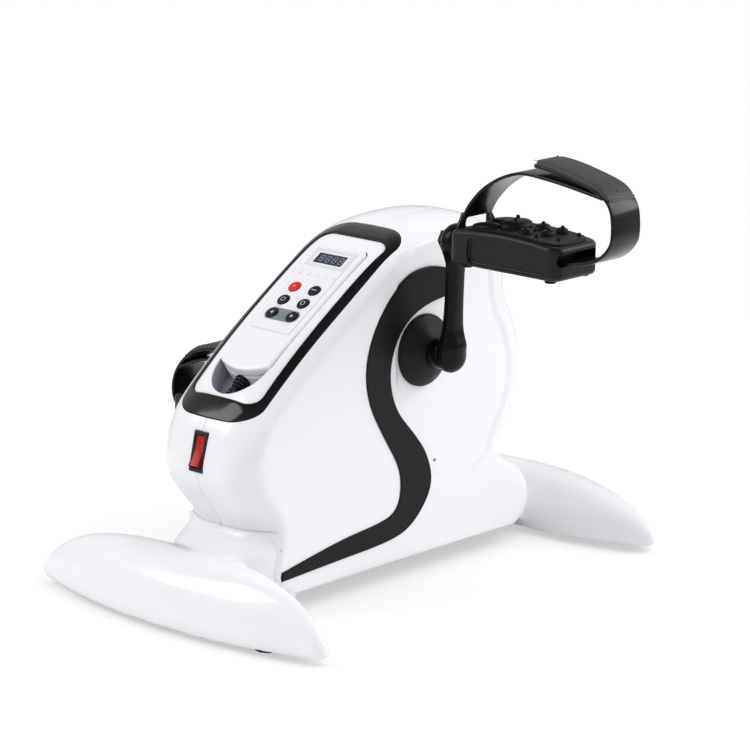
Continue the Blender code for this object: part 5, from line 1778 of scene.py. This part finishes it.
def make_rivet(side, place, here, after):
    """The rivet's head on the flap."""
    normal = beside(here, after, 1.0)
    spot = here + normal * 1.5
    profile = rounded_profile([(0.0, 0.0), (1.4, 0.0), (1.2, 0.7), (0.0, 0.9)], 0.4, 3)
    head = turned_to(turned(profile, (0.0, 0.0, 0.0), "Z", 28),
                     Vector((0.0, SIDES[side] * normal.x, normal.y)),
                     place(STRAP_X, spot.x, spot.y))
    dress(make_object("strap_rivet_" + side, head), "satin", side + "_pedal", "black_satin")


def flap_stitches(side, place, wide, tail, seam):
    """Place and turn of each stitch: two rows along the flap, then one across its seam."""
    stitches = []
    for offset in (-wide / 2 + 3.4, wide / 2 - 3.4):
        walked = 0.0
        for here, after in zip(tail[8:-3], tail[9:]):
            walked += (after - here).length
            if walked >= STITCH_STEP:
                walked = 0.0
                along = (after - here).normalized()
                spot = here + beside(here, after, 2.05)
                stitches.append((place(STRAP_X + offset, spot.x, spot.y),
                                 (math.atan2(along.y, SIDES[side] * along.x), 0.0, 0.0)))
    for k in range(-6, 7):
        stitches.append((place(STRAP_X + k * 2.3, seam.x + 2.1, seam.y + 1.0),
                         (0.0, 0.0, math.pi / 2)))
    return stitches


def make_stitches(side, stitches):
    """Short raised threads along the flap's edges and across its seam."""
    points = points_mesh("strap_stitches_" + side, [spot for spot, _ in stitches])
    turns = points.data.attributes.new("turn", "FLOAT_VECTOR", "POINT")
    for item, (_, turn) in zip(turns.data, stitches):
        item.vector = turn
    tree = repeat_tree("stitch_tree_" + side, stitch_shape, "weave")
    angle = add_node(tree, "GeometryNodeInputNamedAttribute", Name="turn")
    angle.data_type = "FLOAT_VECTOR"
    spread = next(node for node in tree.nodes if node.bl_idname == "GeometryNodeInstanceOnPoints")
    wire(tree, angle, "Attribute", spread, "Rotation")
    run_nodes(points, tree, {"Radius": 0.32 * MM, "Height": 1.9 * MM})
    dress(points, "weave", side + "_pedal", "black_rubber")


def stitch_shape(tree, entry):
    """A thread lying along Y."""
    thread = add_node(tree, "GeometryNodeMeshCylinder", Vertices=8)
    lay = add_node(tree, "GeometryNodeTransform", Rotation=(math.pi / 2, 0.0, 0.0))
    smooth = add_node(tree, "GeometryNodeSetShadeSmooth")
    wire(tree, entry, "Radius", thread)
    wire(tree, entry, "Height", thread, "Depth")
    wire(tree, thread, "Mesh", lay, "Geometry")
    wire(tree, lay, "Geometry", smooth)
    return smooth


# Stage


# Side of the square picture, and where the body frame's origin falls in it, in pixels
PICTURE = 750.0
AIM = (376.0, 560.0)


def place_camera(settings):
    """The photograph's view, aimed at the body frame's origin."""
    data = bpy.data.cameras.new("trainer_camera")
    data.lens = settings.lens
    data.sensor_width = 36.0
    data.clip_end = 20.0
    data.dof.use_dof = False
    camera = placed("trainer_camera", data)
    elevation, azimuth = settings.elevation, -settings.azimuth
    back = Vector((math.sin(azimuth) * math.cos(elevation),
                   -math.cos(azimuth) * math.cos(elevation), math.sin(elevation)))
    level = Vector((math.cos(azimuth), math.sin(azimuth), 0.0))
    rise = back.cross(level)
    right = level * math.cos(settings.roll) + rise * math.sin(settings.roll)
    above = rise * math.cos(settings.roll) - level * math.sin(settings.roll)
    focal = PICTURE * settings.lens / data.sensor_width
    ray = -back + right * (AIM[0] - PICTURE / 2) / focal - above * (AIM[1] - PICTURE / 2) / focal
    matrix = Matrix((right, above, back)).transposed().to_4x4()
    matrix.translation = ray * -settings.distance * MM + SHIFT
    camera.matrix_world = matrix
    bpy.context.scene.camera = camera


def area_lamp(name, spot, target, size, power):
    """A soft rectangular lamp at a spot, turned to a target, in metres and watts."""
    data = bpy.data.lights.new(name, "AREA")
    data.shape = "RECTANGLE"
    data.size, data.size_y = size
    data.energy = power
    lamp = placed(name, data)
    lamp.location = Vector(spot)
    lamp.rotation_euler = (Vector(target) - Vector(spot)).to_track_quat("-Z", "Y").to_euler()
    return lamp


def floor_material():
    """Pale floor that shows the camera its shadow and turns plain white away from the trainer."""
    mat, tree, shader = new_material("studio_floor", (0.9, 0.9, 0.9), 0.9, specular=0.0)
    grain(tree, shader, 3.0, 0.85, 0.95)
    place = add_node(tree, "ShaderNodeTexCoord")
    reach = add_node(tree, "ShaderNodeVectorMath")
    reach.operation = "LENGTH"
    fade = add_node(tree, "ShaderNodeMapRange", From_Min=0.3, From_Max=0.5, To_Min=0.45,
                    To_Max=1.0)
    path = add_node(tree, "ShaderNodeLightPath")
    share = add_node(tree, "ShaderNodeMath")
    share.operation = "MULTIPLY"
    white = add_node(tree, "ShaderNodeEmission", Strength=1.15)
    mix = add_node(tree, "ShaderNodeMixShader")
    wire(tree, place, "Object", reach, 0)
    wire(tree, reach, "Value", fade)
    wire(tree, fade, "Result", share, 0)
    wire(tree, path, "Is Camera Ray", share, 1)
    wire(tree, share, "Value", mix, "Fac")
    wire(tree, shader, "BSDF", mix, 1)
    wire(tree, white, "Emission", mix, 2)
    wire(tree, mix, "Shader", tree.nodes["Material Output"], "Surface")
    return mat


def grey(level):
    """An opaque grey."""
    return (level, level, level, 1.0)


def make_world(settings):
    """White behind the trainer for the camera, dimmer light for its surfaces and its gloss."""
    world = bpy.data.worlds.new("studio_world")
    bpy.context.scene.world = world
    world.use_nodes = True
    tree = world.node_tree
    tree.nodes.clear()
    path = add_node(tree, "ShaderNodeLightPath")
    out = add_node(tree, "ShaderNodeOutputWorld")
    sky = add_node(tree, "ShaderNodeBackground", Color=(0.96, 0.96, 1.0, 1.0),
                   Strength=settings.sky)
    mirror = add_node(tree, "ShaderNodeBackground", Strength=settings.mirror)
    backdrop = add_node(tree, "ShaderNodeBackground", Color=grey(1.0), Strength=1.0)
    place = add_node(tree, "ShaderNodeTexCoord")
    split = add_node(tree, "ShaderNodeSeparateXYZ")
    ramp = add_node(tree, "ShaderNodeValToRGB")
    low, high = ramp.color_ramp.elements
    low.position, low.color = 0.0, grey(0.55)
    high.position, high.color = 1.0, grey(0.05)
    for height, level in ((0.45, 0.9), (0.62, 0.75), (0.8, 0.3)):
        ramp.color_ramp.elements.new(height).color = grey(level)
    gloss = add_node(tree, "ShaderNodeMixShader")
    seen = add_node(tree, "ShaderNodeMixShader")
    wire(tree, place, "Generated", split, "Vector")
    wire(tree, split, "Z", ramp, "Fac")
    wire(tree, ramp, "Color", mirror)
    wire(tree, path, "Is Glossy Ray", gloss, "Fac")
    wire(tree, sky, "Background", gloss, 1)
    wire(tree, mirror, "Background", gloss, 2)
    wire(tree, path, "Is Camera Ray", seen, "Fac")
    wire(tree, gloss, "Shader", seen, 1)
    wire(tree, backdrop, "Background", seen, 2)
    wire(tree, seen, "Shader", out, "Surface")


def make_stage():
    """Camera, floor, world light and lamps."""
    settings = bpy.context.scene.trainer_stage
    bpy.context.scene.view_settings.view_transform = "Standard"
    place_camera(settings)
    bm = bmesh.new()
    bmesh.ops.create_grid(bm, x_segments=1, y_segments=1, size=0.9)
    mesh = bpy.data.meshes.new("studio_floor")
    bm.to_mesh(mesh)
    bm.free()
    mesh.materials.append(floor_material())
    placed("studio_floor", mesh)
    make_world(settings)
    area_lamp("right_lamp", (1.9, -1.5, 1.4), (0.05, 0.0, 0.15), (1.6, 1.6), settings.right)
    area_lamp("left_lamp", (-1.5, 1.1, 1.6), (-0.1, 0.0, 0.15), (1.0, 1.5), settings.left)
    top = area_lamp("top_lamp", (0.7, -1.0, 2.0), (0.0, 0.0, 0.1), (1.8, 1.8), settings.top)
    top.visible_glossy = False


# Operators, in the order that main calls them


class TRAINER_OT_stage(Operator):
    """Set up the camera, floor and lamps."""
    bl_idname = "trainer.stage"
    bl_label = "Stage"

    def execute(self, context):
        make_finishes()
        finish_frame()
        make_stage()
        return {"FINISHED"}


class TRAINER_OT_cord(Operator):
    """Make the curly cord and its relief."""
    bl_idname = "trainer.cord"
    bl_label = "Handset cord"

    def execute(self, context):
        make_cord()
        return {"FINISHED"}


class TRAINER_OT_shells(Operator):
    """Make both body shells, the stripes and the hub covers."""
    bl_idname = "trainer.shells"
    bl_label = "Body shells"

    def execute(self, context):
        make_shells()
        make_side_trim()
        return {"FINISHED"}


class TRAINER_OT_console(Operator):
    """Make the ring, the tray and the handset."""
    bl_idname = "trainer.console"
    bl_label = "Console"

    def execute(self, context):
        settings = context.scene.trainer_console
        make_ring(settings)
        make_tray(settings)
        make_handset(settings)
        return {"FINISHED"}


class TRAINER_OT_feet(Operator):
    """Make the two foot covers."""
    bl_idname = "trainer.feet"
    bl_label = "Foot covers"

    def execute(self, context):
        make_feet()
        return {"FINISHED"}


class TRAINER_OT_electrics(Operator):
    """Make the switch, the mains inlet and the screws."""
    bl_idname = "trainer.electrics"
    bl_label = "Switch and inlet"

    def execute(self, context):
        make_switch()
        make_inlet()
        make_screws()
        return {"FINISHED"}


class TRAINER_OT_cranks(Operator):
    """Make both crank arms with their spindles."""
    bl_idname = "trainer.cranks"
    bl_label = "Cranks"

    def execute(self, context):
        for side in SIDES:
            make_crank(side)
        return {"FINISHED"}


class TRAINER_OT_pedals(Operator):
    """Make both pedals, their pads and their straps."""
    bl_idname = "trainer.pedals"
    bl_label = "Pedals and straps"

    def execute(self, context):
        for side, paths in (("right", RIGHT_STRAP), ("left", LEFT_STRAP)):
            make_pedal(side)
            make_strap(side, paths)
        return {"FINISHED"}


STEPS = (TRAINER_OT_stage, TRAINER_OT_cord, TRAINER_OT_shells, TRAINER_OT_console,
         TRAINER_OT_feet, TRAINER_OT_electrics, TRAINER_OT_cranks, TRAINER_OT_pedals)


class TRAINER_PT_panel(Panel):
    """Lists the trainer's pieces."""
    bl_label = "Pedal trainer"
    bl_idname = "TRAINER_PT_panel"
    bl_space_type = "VIEW_3D"
    bl_region_type = "UI"
    bl_category = "Trainer"

    def draw(self, context):
        for step in STEPS:
            self.layout.operator(step.bl_idname)


SETTINGS = {"trainer_stage": StageSettings, "trainer_body": BodySettings,
            "trainer_console": ConsoleSettings, "trainer_feet": FootSettings,
            "trainer_pedals": PedalSettings, "trainer_finish": FinishSettings}


def register():
    """Add the settings, the operators and the panel."""
    for name, group in SETTINGS.items():
        bpy.utils.register_class(group)
        setattr(bpy.types.Scene, name, PointerProperty(type=group))
    for step in STEPS:
        bpy.utils.register_class(step)
    bpy.utils.register_class(TRAINER_PT_panel)


def unregister():
    """Remove what register added."""
    bpy.utils.unregister_class(TRAINER_PT_panel)
    for step in reversed(STEPS):
        bpy.utils.unregister_class(step)
    for name, group in SETTINGS.items():
        delattr(bpy.types.Scene, name)
        bpy.utils.unregister_class(group)


def main():
    """Run every operator in order."""
    register()
    for step in STEPS:
        group, name = step.bl_idname.split(".")
        getattr(getattr(bpy.ops, group), name)()


if __name__ == "__main__":
    main()
